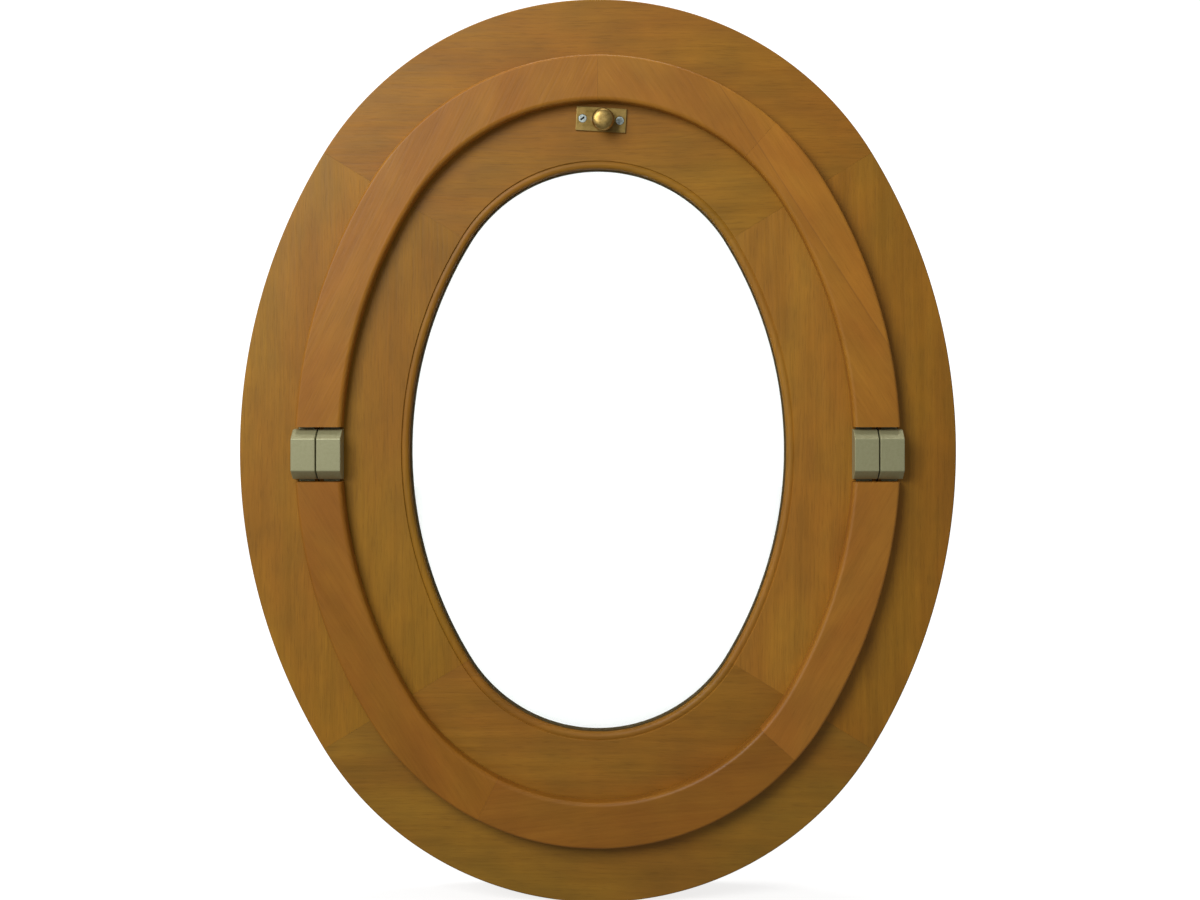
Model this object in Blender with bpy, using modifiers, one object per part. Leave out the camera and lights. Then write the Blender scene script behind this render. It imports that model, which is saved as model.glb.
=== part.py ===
"""Oval centre-pivoted timber window, with its frame, sash, cover bands, glazing, pivots and latch.

Metres, +Z up, +X to the right as seen from the room, +Y towards the outside. The origin is the
centre of the oval, half way through the overall depth. Every ring follows one four-centre oval: a
place on it is an angle of its normal (0 at +X, 90 at +Z), an offset in from the outer edge, and a
depth from the room face towards the outside.
"""

import math

import bmesh
import bpy
from mathutils import Matrix, Vector

# Driving sizes of the oval
WIDTH = 0.595
HEIGHT = 0.750
END_ROUNDNESS = 0.8975  # radius of the top and bottom arcs over half the width
GAP = 0.0003  # between pieces that touch
JOINT_GAP = 0.0003  # between the glued ends of two segments
END_STEPS = 20  # flats on the top arc, and on the bottom arc
SIDE_STEPS = 14  # flats on each side arc

# Frame ring
FRAME_WIDTH = 0.0647
FRAME_DEPTH = 0.060
FRAME_ARRIS = 0.002

# Sash ring
SASH_CLEARANCE = 0.0015
SASH_WIDTH = 0.0748
SASH_THICKNESS = 0.044
SASH_LAND = 0.020  # depth of rim before it tapers
SASH_TAPER = 0.0035
MOULDING_WIDTH = 0.0066
MOULDING_DROP = 0.004
REBATE_LIP = 0.014
REBATE_DEPTH = 0.0308

# Cover bands: the upper one is fixed to the sash, the lower one to the frame
BAND_WIDTH = 0.0382
BAND_LAP = 0.0167  # over the frame
BAND_PROUD = 0.0137
BAND_OUTER_ROUND = 0.0024
BAND_INNER_ROUND = 0.0038
BAND_END_CLEARANCE = 0.0003  # round the pivot blocks as they turn
UPPER_BAND_JOINTS = (90.0, 48.0)
LOWER_BAND_JOINTS = (243.0, 318.0)

# Outer stop behind the upper half of the sash
STOP_WIDTH = 0.017
STOP_CLEARANCE = 0.0009
STOP_END_Z = 0.055

# Seals
SEAL_WIDTH = 0.004
SEAL_DEPTH = 0.0037
UPPER_SEAL_IN = 0.0040  # from the band's outer edge
LOWER_SEAL_IN = 0.0260
STOP_SEAL_IN = 0.0070
SEAL_SHORT = 0.001  # how far a seal stops inside its strip's end

# Glazing
PANE_THICKNESS = 0.004
PANE_EDGE_CLEARANCE = 0.002
CAVITY = 0.012
SPACER_WIDTH = 0.0065
GASKET_THICKNESS = 0.0015
GASKET_WIDTH = 0.0095
GASKET_LEG = 0.0005  # thickness of the inner gasket's leg, which lines the light
GASKET_LEG_FRONT = 0.0055
GLAZING_BEAD_SET_BACK = 0.004  # from the light's edge
GLAZING_BEAD_CHAMFER = 0.005

# Pivots
PIVOT_BELOW_MIDDLE = 0.0024
PIVOT_SEAM = 0.001
PIVOT_HALF_WIDTH = 0.0200
PIVOT_HALF_HEIGHT = 0.0208
PIVOT_PROUD = 0.018
PIVOT_FLAT = 0.0132  # half height of the front flat
PIVOT_SHOULDER = 0.0085  # how proud the block is where its front slope starts
PIVOT_SHOULDER_IN = 0.0003
FLANGE_BEYOND = 0.016  # past each end of the block
FLANGE_DEPTH = 0.0035
FLANGE_INSET = 0.0035
PIVOT_BOSS_HALF_HEIGHT = 0.012
PIVOT_BOSS_DEPTH = 0.012
POCKET_MOUTH = 0.003  # how far a boss's pocket runs out past the block
FLANGE_SCREW_BEYOND = 0.008  # past each end of the block
AXLE_RADIUS = 0.004
AXLE_REACH = 0.016  # into each block
WASHER_RADIUS = 0.009
WASHER_THICKNESS = 0.0024

# Latch
LATCH_X = 0.0043
LATCH_DEPTH = 0.012
KNOB_BELOW_BAND = 0.0156
KNOB_RADIUS = 0.00935
KNOB_FACE_RADIUS = 0.0058
KNOB_NECK_RADIUS = 0.0042
KNOB_PROUD = 0.019
KNOB_LENGTH = 0.0160
STEM_RADIUS = 0.0016
PLATE_LENGTH = 0.0415
PLATE_HEIGHT = 0.020
PLATE_THICKNESS = 0.0015
PLATE_TURN = 3.5
PLATE_X = 0.0027
PLATE_ABOVE_KNOB = 0.0016
PLATE_SCREW_PITCH = 0.031
BOLT_RADIUS = 0.0046
BOLT_THROW = 0.005  # past the sash rim
BOLT_CLEARS = 0.0002  # how far inside the rim the bolt is when drawn
BOLT_BELOW_KNOB = 0.0048
CASE_WALL = 0.0015
CASE_FLOOR = 0.0025
CASE_BELOW_RIM = 0.0008
CASE_TO_REBATE = 0.0035  # timber left under the case
SPRING_TURNS = 5
SPRING_WIRE = 0.0006
STRIKE_LENGTH = 0.034
STRIKE_WIDTH = 0.013
STRIKE_THICKNESS = 0.0016
STRIKE_SCREW_PITCH = 0.023
STRIKE_MORTISE_DEPTH = 0.010

# Screws: head radius, shank radius, length
FLANGE_SCREW = (0.0034, 0.0016, 0.016)
PLATE_SCREW = (0.0033, 0.0015, 0.012)
STRIKE_SCREW = (0.0028, 0.0013, 0.012)
SCREW_STEPS = 10
ROUND_STEPS = 16

# Worked out from the sizes above
HALF_WIDTH = WIDTH / 2
HALF_HEIGHT = HEIGHT / 2
END_RADIUS = END_ROUNDNESS * HALF_WIDTH
END_CENTRE = HALF_HEIGHT - END_RADIUS
SIDE_RADIUS = (HALF_WIDTH**2 + END_CENTRE**2 - END_RADIUS**2) / (2 * (HALF_WIDTH - END_RADIUS))
SIDE_CENTRE = SIDE_RADIUS - HALF_WIDTH
TURN = math.degrees(math.atan2(END_CENTRE, SIDE_CENTRE))  # angle where the arcs meet
FACE_Y = (KNOB_PROUD - FRAME_DEPTH) / 2
SASH_RIM = FRAME_WIDTH + SASH_CLEARANCE
OPENING = SASH_RIM + SASH_WIDTH
REBATE = OPENING - REBATE_LIP
REBATE_FACE = SASH_THICKNESS - REBATE_DEPTH
BAND_OUTER = FRAME_WIDTH - BAND_LAP
BAND_INNER = BAND_OUTER + BAND_WIDTH
PIVOT_CENTRE = SASH_RIM
PIVOT_Z = -PIVOT_BELOW_MIDDLE
RIM_Z = HALF_HEIGHT - SASH_RIM
BLOCK_CORNER = math.hypot(PIVOT_PROUD, PIVOT_FLAT)  # each as far from the pivots' axis as it turns
BLOCK_SHOULDER = math.hypot(PIVOT_SHOULDER, PIVOT_HALF_HEIGHT - PIVOT_SHOULDER_IN)
BAND_END = max(BLOCK_CORNER, BLOCK_SHOULDER) + BAND_END_CLEARANCE
FLANGE_HALF_HEIGHT = PIVOT_HALF_HEIGHT + FLANGE_BEYOND
FLANGE_SCREW_Z = PIVOT_HALF_HEIGHT + FLANGE_SCREW_BEYOND
KNOB_BELOW_RIM = BAND_INNER - SASH_RIM + KNOB_BELOW_BAND
KNOB_Z = RIM_Z - KNOB_BELOW_RIM
LATCH_TRAVEL = BOLT_THROW + BOLT_CLEARS
CASE_ROOM = SASH_WIDTH - REBATE_LIP - KNOB_BELOW_RIM  # from the knob's axis down to the rebate
SPRING_ROOM = CASE_ROOM - BOLT_BELOW_KNOB - CASE_FLOOR - CASE_TO_REBATE
LATCH_Y = FACE_Y + LATCH_DEPTH
STRIKE_Z = HALF_HEIGHT - FRAME_WIDTH
LAST_ARC = 360 - TURN  # where a whole ring, begun on the right arc, comes round to it

OAK = ("oak", (0.36, 0.17, 0.045), 0.45, 0.0)
CHESTNUT = ("chestnut", (0.40, 0.18, 0.06), 0.42, 0.0)
ZINC = ("satin_zinc", (0.36, 0.34, 0.22), 0.38, 0.6)
BRASS = ("brass", (0.62, 0.44, 0.16), 0.25, 1.0)
STEEL = ("bright_steel", (0.60, 0.60, 0.58), 0.3, 1.0)
RUBBER = ("black_rubber", (0.02, 0.022, 0.02), 0.7, 0.0)
FIBRE = ("fibre_washer", (0.05, 0.045, 0.04), 0.6, 0.0)
GLASS = ("clear_glass", (0.80, 0.86, 0.84), 0.05, 0.0)
SPACER = ("spacer_bar", (0.35, 0.36, 0.34), 0.4, 0.8)

FACE_THE_ROOM = Matrix.Rotation(math.radians(90), 4, "X")
FACE_DOWN = Matrix.Rotation(math.radians(180), 4, "X")
FACE_RIGHT = Matrix.Rotation(math.radians(90), 4, "Y")


# Scene and object helpers


def clear_scene():
    for obj in list(bpy.data.objects):
        bpy.data.objects.remove(obj)


def new_collection(name):
    collection = bpy.data.collections.new(name)
    bpy.context.scene.collection.children.link(collection)
    return collection


def material(finish):
    name, colour, roughness, metallic = finish
    found = bpy.data.materials.get(name)
    if found:
        return found
    made = bpy.data.materials.new(name)
    made.use_nodes = True
    shader = made.node_tree.nodes["Principled BSDF"]
    shader.inputs["Base Color"].default_value = (*colour, 1.0)
    shader.inputs["Roughness"].default_value = roughness
    shader.inputs["Metallic"].default_value = metallic
    return made


def empty(name, location):
    """A joint's axis, which carries the pieces that move about it."""
    axis = bpy.data.objects.new(name, None)
    axis.location = location
    PARTS.objects.link(axis)
    bpy.context.view_layer.update()
    return axis


def dress(obj, finish, parent):
    """Gives a piece its finish and hangs it on its joint's axis."""
    obj.data.materials.append(material(finish))
    if parent:
        obj.parent = parent
        obj.matrix_parent_inverse = parent.matrix_world.inverted()
    return obj


def mesh_object(name, bm, collection):
    bmesh.ops.recalc_face_normals(bm, faces=bm.faces)
    mesh = bpy.data.meshes.new(name)
    bm.to_mesh(mesh)
    bm.free()
    mesh.shade_smooth()
    mesh.set_sharp_from_angle(angle=math.radians(30))
    obj = bpy.data.objects.new(name, mesh)
    collection.objects.link(obj)
    return obj


def piece(name, bm, finish, parent=None):
    return dress(mesh_object(name, bm, PARTS), finish, parent)


def helper(obj):
    """Marks an object that only shapes others."""
    obj.hide_render = True
    obj.display_type = "WIRE"
    return obj


def cutter(name, bm):
    return helper(mesh_object(name, bm, CUTTERS))


def combine(obj, others, operation="DIFFERENCE"):
    for other in others:
        step = obj.modifiers.new(other.name, "BOOLEAN")
        step.operation = operation
        step.object = other
    return obj


# The oval


def arc_at(angle):
    """(centre, radius, where the arc starts, where it ends, flats) of the arc that holds an angle."""
    quarter = angle % 360
    lap = angle - quarter
    arcs = (
        (0.0, -SIDE_CENTRE, 0.0, SIDE_RADIUS, -TURN, TURN, SIDE_STEPS),
        (90.0, 0.0, END_CENTRE, END_RADIUS, TURN, 180 - TURN, END_STEPS),
        (180.0, SIDE_CENTRE, 0.0, SIDE_RADIUS, 180 - TURN, 180 + TURN, SIDE_STEPS),
        (270.0, 0.0, -END_CENTRE, END_RADIUS, 180 + TURN, 360 - TURN, END_STEPS),
        (360.0, -SIDE_CENTRE, 0.0, SIDE_RADIUS, 360 - TURN, 360 + TURN, SIDE_STEPS),
    )
    for _, x, z, radius, start, end, steps in arcs:
        if start <= quarter < end:
            return Vector((x, 0, z)), radius, start + lap, end + lap, steps
    raise ValueError(f"no arc holds {angle}")


def normal_at(angle):
    turned = math.radians(angle)
    return Vector((math.cos(turned), 0, math.sin(turned)))


def tangent_at(angle):
    turned = math.radians(angle)
    return Vector((-math.sin(turned), 0, math.cos(turned)))


def place(angle, offset, depth):
    """A point from its normal's angle, its offset in from the outer edge and its depth."""
    centre, radius = arc_at(angle)[:2]
    return centre + (radius - offset) * normal_at(angle) + Vector((0, FACE_Y + depth, 0))


def ring(profile, start, end, looped=True):
    """An (offset, depth) profile, closed if looped, carried round every whole arc between two angles."""
    bm = bmesh.new()
    _, _, begin, _, _ = arc_at(start)
    points = [bm.verts.new(place(begin, offset, depth)) for offset, depth in profile]
    following = points[1:] + points[:1] if looped else points[1:]
    geom = points + [bm.edges.new(pair) for pair in zip(points, following)]
    angle = begin
    while angle < end - 1e-6:
        centre, _, arc_start, arc_end, steps = arc_at(angle + 1e-6)
        spun = bmesh.ops.spin(
            bm,
            geom=geom,
            cent=centre,
            axis=(0, -1, 0),
            angle=math.radians(arc_end - arc_start),
            steps=steps,
        )
        geom = spun["geom_last"]
        angle = arc_end
    bmesh.ops.remove_doubles(bm, verts=bm.verts, dist=1e-6)
    return bm


def cut_away(bm, point, keep):
    """Cuts off what lies behind a plane, and closes the cut."""
    geom = bm.verts[:] + bm.edges[:] + bm.faces[:]
    bmesh.ops.bisect_plane(bm, geom=geom, plane_co=point, plane_no=keep, clear_inner=True, dist=1e-7)


def close_ends(bm):
    bmesh.ops.holes_fill(bm, edges=[edge for edge in bm.edges if edge.is_boundary])
    return bm


def segment(profile, start, end):
    """A length of ring between two radial joints."""
    bm = ring(profile, start, end)
    for angle, side in ((start, 1), (end, -1)):
        keep = side * tangent_at(angle)
        centre = arc_at(angle)[0]
        cut_away(bm, centre + JOINT_GAP / 2 * keep, keep)
    return close_ends(bm)


def limb(profile, start, end, joint, end_z):
    """A length of ring between a radial joint and a level end above or below the middle."""
    bm = ring(profile, start, end)
    side = 1 if joint == start else -1
    keep = side * tangent_at(joint)
    cut_away(bm, arc_at(joint)[0] + JOINT_GAP / 2 * keep, keep)
    cut_away(bm, Vector((0, 0, end_z)), Vector((0, 0, math.copysign(1, end_z))))
    return close_ends(bm)


def half_ring(profile, end_z):
    """Half a ring, the upper or the lower, between two level ends."""
    bm = ring(profile, 0.0, 180.0) if end_z > 0 else ring(profile, 180.0, 360.0)
    cut_away(bm, Vector((0, 0, end_z)), Vector((0, 0, math.copysign(1, end_z))))
    return close_ends(bm)


def strip(outer, width, front, depth):
    """A rectangular section: offset of its outer side, width, depth of its front, thickness."""
    return ((outer, front), (outer, front + depth), (outer + width, front + depth), (outer + width, front))


def pane(offset, front, thickness):
    """A flat plate with the oval's outline."""
    edge = ((offset, front), (offset, front + thickness))
    return close_ends(ring(edge, 0.0, LAST_ARC, looped=False))


# Plain shapes


def box(low, high):
    bm = bmesh.new()
    low, high = Vector(low), Vector(high)
    centre = Matrix.Translation((low + high) / 2)
    bmesh.ops.create_cube(bm, size=1.0, matrix=centre @ Matrix.Diagonal((*(high - low), 1)))
    return bm


def prism(outline, x_from, x_to):
    """An outline of (depth, height above the pivots' axis) run along X."""
    bm = bmesh.new()
    corners = [bm.verts.new((x_from, FACE_Y + depth, PIVOT_Z + z)) for depth, z in outline]
    bm.faces.new(corners)
    run = bmesh.ops.extrude_face_region(bm, geom=bm.faces[:])
    moved = [item for item in run["geom"] if isinstance(item, bmesh.types.BMVert)]
    bmesh.ops.translate(bm, verts=moved, vec=(x_to - x_from, 0, 0))
    return bm


def turned_object(name, profile, steps, matrix, collection):
    """A (radius, height) profile, top to bottom, turned about its own Z."""
    mesh = bpy.data.meshes.new(name)
    bm = bmesh.new()
    points = [bm.verts.new((radius, 0, height)) for radius, height in profile]
    for pair in zip(points, points[1:]):
        bm.edges.new(pair)
    bm.to_mesh(mesh)
    bm.free()
    obj = bpy.data.objects.new(name, mesh)
    collection.objects.link(obj)
    obj.matrix_world = matrix
    screw = obj.modifiers.new("Turn", "SCREW")
    screw.steps = steps
    screw.render_steps = steps
    screw.use_merge_vertices = True
    screw.merge_threshold = 0.00001
    screw.use_smooth_shade = True
    return obj


def turned(name, profile, steps, matrix, finish, parent=None):
    obj = turned_object(name, profile, steps, matrix, PARTS)
    obj.data.materials.append(material(finish))
    if parent:
        world = obj.matrix_world.copy()
        obj.parent = parent
        obj.matrix_parent_inverse = parent.matrix_world.inverted()
        obj.matrix_world = world
    return obj


def turned_cutter(name, profile, steps, matrix):
    return helper(turned_object(name, profile, steps, matrix, CUTTERS))


def rod(radius, top, bottom):
    """The profile of a plain round bar."""
    return ((0, top), (radius, top), (radius, bottom), (0, bottom))


def screw_profile(screw, clearance=0.0):
    """A countersunk screw whose head's top is at height 0."""
    head, shank, length = (value + clearance for value in screw)
    top = clearance * 4
    rim = 0.0004
    return (
        (0, top),
        (head, top),
        (head, -rim),
        (shank, -rim - (head - shank)),
        (shank, -length + shank),
        (0, -length - clearance),
    )


def add_screw(name, screw, matrix, holds, parent=None):
    """A screw, and its hole in each piece it passes through."""
    made = turned(name, screw_profile(screw), SCREW_STEPS, matrix, STEEL, parent)
    hole = turned_cutter(f"{name}_hole", screw_profile(screw, GAP), SCREW_STEPS, matrix)
    for piece_held in holds:
        combine(piece_held, [hole])
    return made


# Timber rings


def frame_profile():
    a = FRAME_ARRIS
    return (
        (a, 0),
        (0, a),
        (0, FRAME_DEPTH - a),
        (a, FRAME_DEPTH),
        (FRAME_WIDTH, FRAME_DEPTH),
        (FRAME_WIDTH, 0),
    )


def sash_profile():
    quirk = OPENING - MOULDING_WIDTH
    return (
        (SASH_RIM, 0),
        (SASH_RIM, SASH_LAND),
        (SASH_RIM + SASH_TAPER, SASH_THICKNESS),
        (REBATE, SASH_THICKNESS),
        (REBATE, REBATE_FACE),
        (OPENING, REBATE_FACE),
        (OPENING, MOULDING_DROP),
        (OPENING - 0.30 * MOULDING_WIDTH, 0.3 * MOULDING_DROP),
        (OPENING - 0.75 * MOULDING_WIDTH, 0.15 * MOULDING_DROP),
        (quirk, 0.4 * MOULDING_DROP),
        (quirk, 0),
    )


def band_profile(seal_in):
    """A cover band with both front edges rounded and a seal's groove in its back."""
    back, front = -GAP, -GAP - BAND_PROUD
    outer_r, inner_r = BAND_OUTER_ROUND, BAND_INNER_ROUND
    groove = BAND_OUTER + seal_in - GAP
    groove_end = groove + SEAL_WIDTH + 2 * GAP
    groove_front = back - SEAL_DEPTH - GAP
    return (
        (BAND_OUTER, back),
        (groove, back),
        (groove, groove_front),
        (groove_end, groove_front),
        (groove_end, back),
        (BAND_INNER, back),
        (BAND_INNER, front + inner_r),
        (BAND_INNER - 0.134 * inner_r, front + 0.5 * inner_r),
        (BAND_INNER - 0.5 * inner_r, front + 0.134 * inner_r),
        (BAND_INNER - inner_r, front),
        (BAND_OUTER + outer_r, front),
        (BAND_OUTER + 0.293 * outer_r, front + 0.293 * outer_r),
        (BAND_OUTER, front + outer_r),
    )


def stop_profile():
    front = SASH_THICKNESS + STOP_CLEARANCE
    outer = FRAME_WIDTH + GAP
    groove = outer + STOP_SEAL_IN - GAP
    groove_end = groove + SEAL_WIDTH + 2 * GAP
    groove_back = front + SEAL_DEPTH + GAP
    return (
        (outer, front),
        (outer, FRAME_DEPTH),
        (outer + STOP_WIDTH - 0.003, FRAME_DEPTH),
        (outer + STOP_WIDTH, FRAME_DEPTH - 0.003),
        (outer + STOP_WIDTH, front),
        (groove_end, front),
        (groove_end, groove_back),
        (groove, groove_back),
        (groove, front),
    )


def quarter_joints():
    """Names and joint angles of a ring in four segments, one for each arc."""
    return (
        ("top", TURN, 180 - TURN),
        ("left", 180 - TURN, 180 + TURN),
        ("bottom", 180 + TURN, 360 - TURN),
        ("right", 360 - TURN, 360 + TURN),
    )


def ring_of_four(prefix, profile, finish, parent=None):
    return {
        side: piece(f"{prefix}_{side}", segment(profile, start, end), finish, parent)
        for side, start, end in quarter_joints()
    }


def upper_band(parent):
    """The band's upper half, in three lengths: it turns with the sash."""
    profile = band_profile(UPPER_SEAL_IN)
    crown, shoulder = UPPER_BAND_JOINTS
    end_z = PIVOT_Z + BAND_END
    piece("upper_band_left", limb(profile, crown, 180.0, crown, end_z), CHESTNUT, parent)
    piece("upper_band_crown", segment(profile, shoulder, crown), CHESTNUT, parent)
    piece("upper_band_right", limb(profile, 0.0, shoulder, shoulder, end_z), CHESTNUT, parent)
    seal = strip(BAND_OUTER + UPPER_SEAL_IN, SEAL_WIDTH, -GAP - SEAL_DEPTH, SEAL_DEPTH)
    piece("upper_seal", half_ring(seal, end_z + SEAL_SHORT), RUBBER, parent)


def lower_band():
    """The band's lower half, in three lengths: it stays on the frame."""
    profile = band_profile(LOWER_SEAL_IN)
    left, right = LOWER_BAND_JOINTS
    end_z = PIVOT_Z - BAND_END
    piece("lower_band_left", limb(profile, 180.0, left, left, end_z), CHESTNUT)
    piece("lower_band_foot", segment(profile, left, right), CHESTNUT)
    piece("lower_band_right", limb(profile, right, 360.0, right, end_z), CHESTNUT)
    seal = strip(BAND_OUTER + LOWER_SEAL_IN, SEAL_WIDTH, -GAP - SEAL_DEPTH, SEAL_DEPTH)
    piece("lower_seal", half_ring(seal, end_z - SEAL_SHORT), RUBBER)


def outer_stop():
    """The stop behind the sash's upper half, in two lengths, with its seal."""
    profile = stop_profile()
    piece("outer_stop_left", limb(profile, 90.0, 180.0, 90.0, STOP_END_Z), OAK)
    piece("outer_stop_right", limb(profile, 0.0, 90.0, 90.0, STOP_END_Z), OAK)
    outer = FRAME_WIDTH + GAP + STOP_SEAL_IN
    seal = strip(outer, SEAL_WIDTH, SASH_THICKNESS + STOP_CLEARANCE, SEAL_DEPTH)
    piece("outer_stop_seal", half_ring(seal, STOP_END_Z + SEAL_SHORT), RUBBER)


def glazing(parent):
    """The sealed unit from the room outwards: gasket, pane, spacer bar, pane, gasket and beads."""
    edge = REBATE + PANE_EDGE_CLEARANCE
    front = REBATE_FACE + GAP
    lip, back = OPENING + GAP, front + GASKET_THICKNESS
    gasket = (
        (REBATE + GAP * 2, front),
        (REBATE + GAP * 2, back),
        (lip + GASKET_LEG, back),
        (lip + GASKET_LEG, GASKET_LEG_FRONT),
        (lip, GASKET_LEG_FRONT),
        (lip, front),
    )
    piece("inner_gasket", ring(gasket, 0.0, LAST_ARC), RUBBER, parent)
    front += GASKET_THICKNESS + GAP
    piece("inner_pane", pane(edge, front, PANE_THICKNESS), GLASS, parent)
    front += PANE_THICKNESS + GAP
    bar = strip(edge, SPACER_WIDTH, front, CAVITY - 2 * GAP)
    piece("spacer_bar", ring(bar, 0.0, LAST_ARC), SPACER, parent)
    front += CAVITY - GAP
    piece("outer_pane", pane(edge, front, PANE_THICKNESS), GLASS, parent)
    front += PANE_THICKNESS + GAP
    gasket = strip(REBATE + GAP * 2, GASKET_WIDTH, front, GASKET_THICKNESS)
    piece("outer_gasket", ring(gasket, 0.0, LAST_ARC), RUBBER, parent)
    front += GASKET_THICKNESS + GAP
    outer, inner = REBATE + GAP, OPENING - GLAZING_BEAD_SET_BACK
    bead = (
        (outer, front),
        (outer, SASH_THICKNESS),
        (inner - GLAZING_BEAD_CHAMFER, SASH_THICKNESS),
        (inner, SASH_THICKNESS - GLAZING_BEAD_CHAMFER),
        (inner, front),
    )
    ring_of_four("glazing_bead", bead, OAK, parent)


# Pivots


def block_outline():
    """The proud part of a pivot block, from one end round its sloped front to the other."""
    shoulder_z = PIVOT_HALF_HEIGHT - PIVOT_SHOULDER_IN
    upper = (
        (-GAP, PIVOT_HALF_HEIGHT),
        (-PIVOT_SHOULDER, shoulder_z),
        (-PIVOT_PROUD, PIVOT_FLAT),
    )
    lower = tuple((depth, -z) for depth, z in reversed(upper))
    return upper + lower


def flange_outline(clearance):
    """The screw flange, let into the timber, with a neck up to the block."""
    flange_z = FLANGE_HALF_HEIGHT + clearance
    neck_z = PIVOT_HALF_HEIGHT - 0.002
    face = GAP - 2 * clearance
    back = FLANGE_DEPTH + clearance
    return (
        (face, flange_z),
        (face, neck_z),
        (-0.001, neck_z),
        (-0.001, -neck_z),
        (face, -neck_z),
        (face, -flange_z),
        (back, -flange_z),
        (back, flange_z),
    )


def boss_outline(clearance):
    """The boss round the axle, let into the timber behind the block."""
    boss_z = PIVOT_BOSS_HALF_HEIGHT + clearance
    back = PIVOT_BOSS_DEPTH + clearance
    return ((-0.001, boss_z), (-0.001, -boss_z), (back, -boss_z), (back, boss_z))


def pivot_block(name, side, seam_end, far_end, timber, parent=None):
    """One half of a pivot, its pocket in the timber and the screws through its flange."""
    away = 1 if far_end > seam_end else -1

    def across(offset):
        return side * (HALF_WIDTH - offset)

    block = piece(name, prism(block_outline(), across(seam_end), across(far_end)), ZINC, parent)
    flange_ends = (seam_end + away * FLANGE_INSET, far_end - away * FLANGE_INSET)
    boss_ends = (seam_end, far_end - away * FLANGE_INSET)
    for part, outline, ends in (("flange", flange_outline, flange_ends), ("boss", boss_outline, boss_ends)):
        added = cutter(f"{name}_{part}", prism(outline(0.0), *map(across, ends)))
        combine(block, [added], "UNION")
        mouth = ends[0] - away * (POCKET_MOUTH if part == "boss" else GAP)
        pocket_ends = (mouth, ends[1] + away * GAP)
        pocket = cutter(f"{name}_{part}_pocket", prism(outline(GAP), *map(across, pocket_ends)))
        combine(timber, [pocket])
    middle = across(sum(flange_ends) / 2)
    for end, z in (("upper", FLANGE_SCREW_Z), ("lower", -FLANGE_SCREW_Z)):
        seat = Matrix.Translation((middle, FACE_Y + 2 * GAP, PIVOT_Z + z)) @ FACE_THE_ROOM
        add_screw(f"{name}_screw_{end}", FLANGE_SCREW, seat, (block, timber), parent)
    return block


def bore(name, blocks, side, radius, offset_from, offset_to):
    """A round hole along X through the pivot blocks, between two offsets."""
    x_from, x_to = (side * (HALF_WIDTH - value) for value in (offset_from, offset_to))
    centre = Matrix.Translation((0, FACE_Y, PIVOT_Z)) @ FACE_RIGHT
    profile = rod(radius, max(x_from, x_to), min(x_from, x_to))
    combined = turned_cutter(name, profile, ROUND_STEPS, centre)
    for block in blocks:
        combine(block, [combined])


def pivot(side_name, side, frame_timber, sash_timber, sash_axis):
    """One pivot: the frame's block, the sash's block, the axle and the friction washer."""
    frame_end = PIVOT_CENTRE - PIVOT_SEAM / 2
    sash_end = PIVOT_CENTRE + PIVOT_SEAM / 2
    frame_block = pivot_block(
        f"{side_name}_pivot_frame_block", side, frame_end, frame_end - PIVOT_HALF_WIDTH, frame_timber
    )
    sash_block = pivot_block(
        f"{side_name}_pivot_sash_block",
        side,
        sash_end,
        sash_end + PIVOT_HALF_WIDTH,
        sash_timber,
        sash_axis,
    )
    blocks = (frame_block, sash_block)
    axle_from = frame_end - AXLE_REACH
    axle_to = sash_end + AXLE_REACH
    bore(f"{side_name}_axle_bore", blocks, side, AXLE_RADIUS + GAP, axle_from - GAP, axle_to + GAP)
    washer_from = PIVOT_CENTRE - WASHER_THICKNESS / 2
    washer_to = PIVOT_CENTRE + WASHER_THICKNESS / 2
    bore(f"{side_name}_washer_seat", blocks, side, WASHER_RADIUS + GAP, washer_from - GAP, washer_to + GAP)
    centre = Matrix.Translation((0, FACE_Y, PIVOT_Z)) @ FACE_RIGHT
    ends = sorted(side * (HALF_WIDTH - value) for value in (axle_from, axle_to))
    turned(f"{side_name}_pivot_axle", rod(AXLE_RADIUS, ends[1], ends[0]), ROUND_STEPS, centre, STEEL)
    faces = sorted(side * (HALF_WIDTH - value) for value in (washer_from, washer_to))
    disc = rod(WASHER_RADIUS, faces[1], faces[0])
    washer = turned(f"{side_name}_friction_washer", disc, ROUND_STEPS, centre, FIBRE)
    hole = rod(AXLE_RADIUS + GAP, faces[1] + 0.001, faces[0] - 0.001)
    combine(washer, [turned_cutter(f"{side_name}_washer_hole", hole, ROUND_STEPS, centre)])


# Latch


def at_knob(depth, z=0.0):
    """A matrix on the knob's axis, at a depth and a height from it, facing the room."""
    return Matrix.Translation((LATCH_X, FACE_Y + depth, KNOB_Z + z)) @ FACE_THE_ROOM


def upright(z=0.0):
    """A matrix on the bolt's axis, at a height from the knob's axis."""
    return Matrix.Translation((LATCH_X, LATCH_Y, KNOB_Z + z))


def slot_cutter(name, half_width, depth_from, depth_to):
    """The slot that the stem travels in, from the knob's rest down by the travel."""
    bottom = KNOB_Z - LATCH_TRAVEL - half_width
    low = (LATCH_X - half_width, FACE_Y + depth_from, bottom)
    high = (LATCH_X + half_width, FACE_Y + depth_to, KNOB_Z + half_width)
    return cutter(name, box(low, high))


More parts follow.
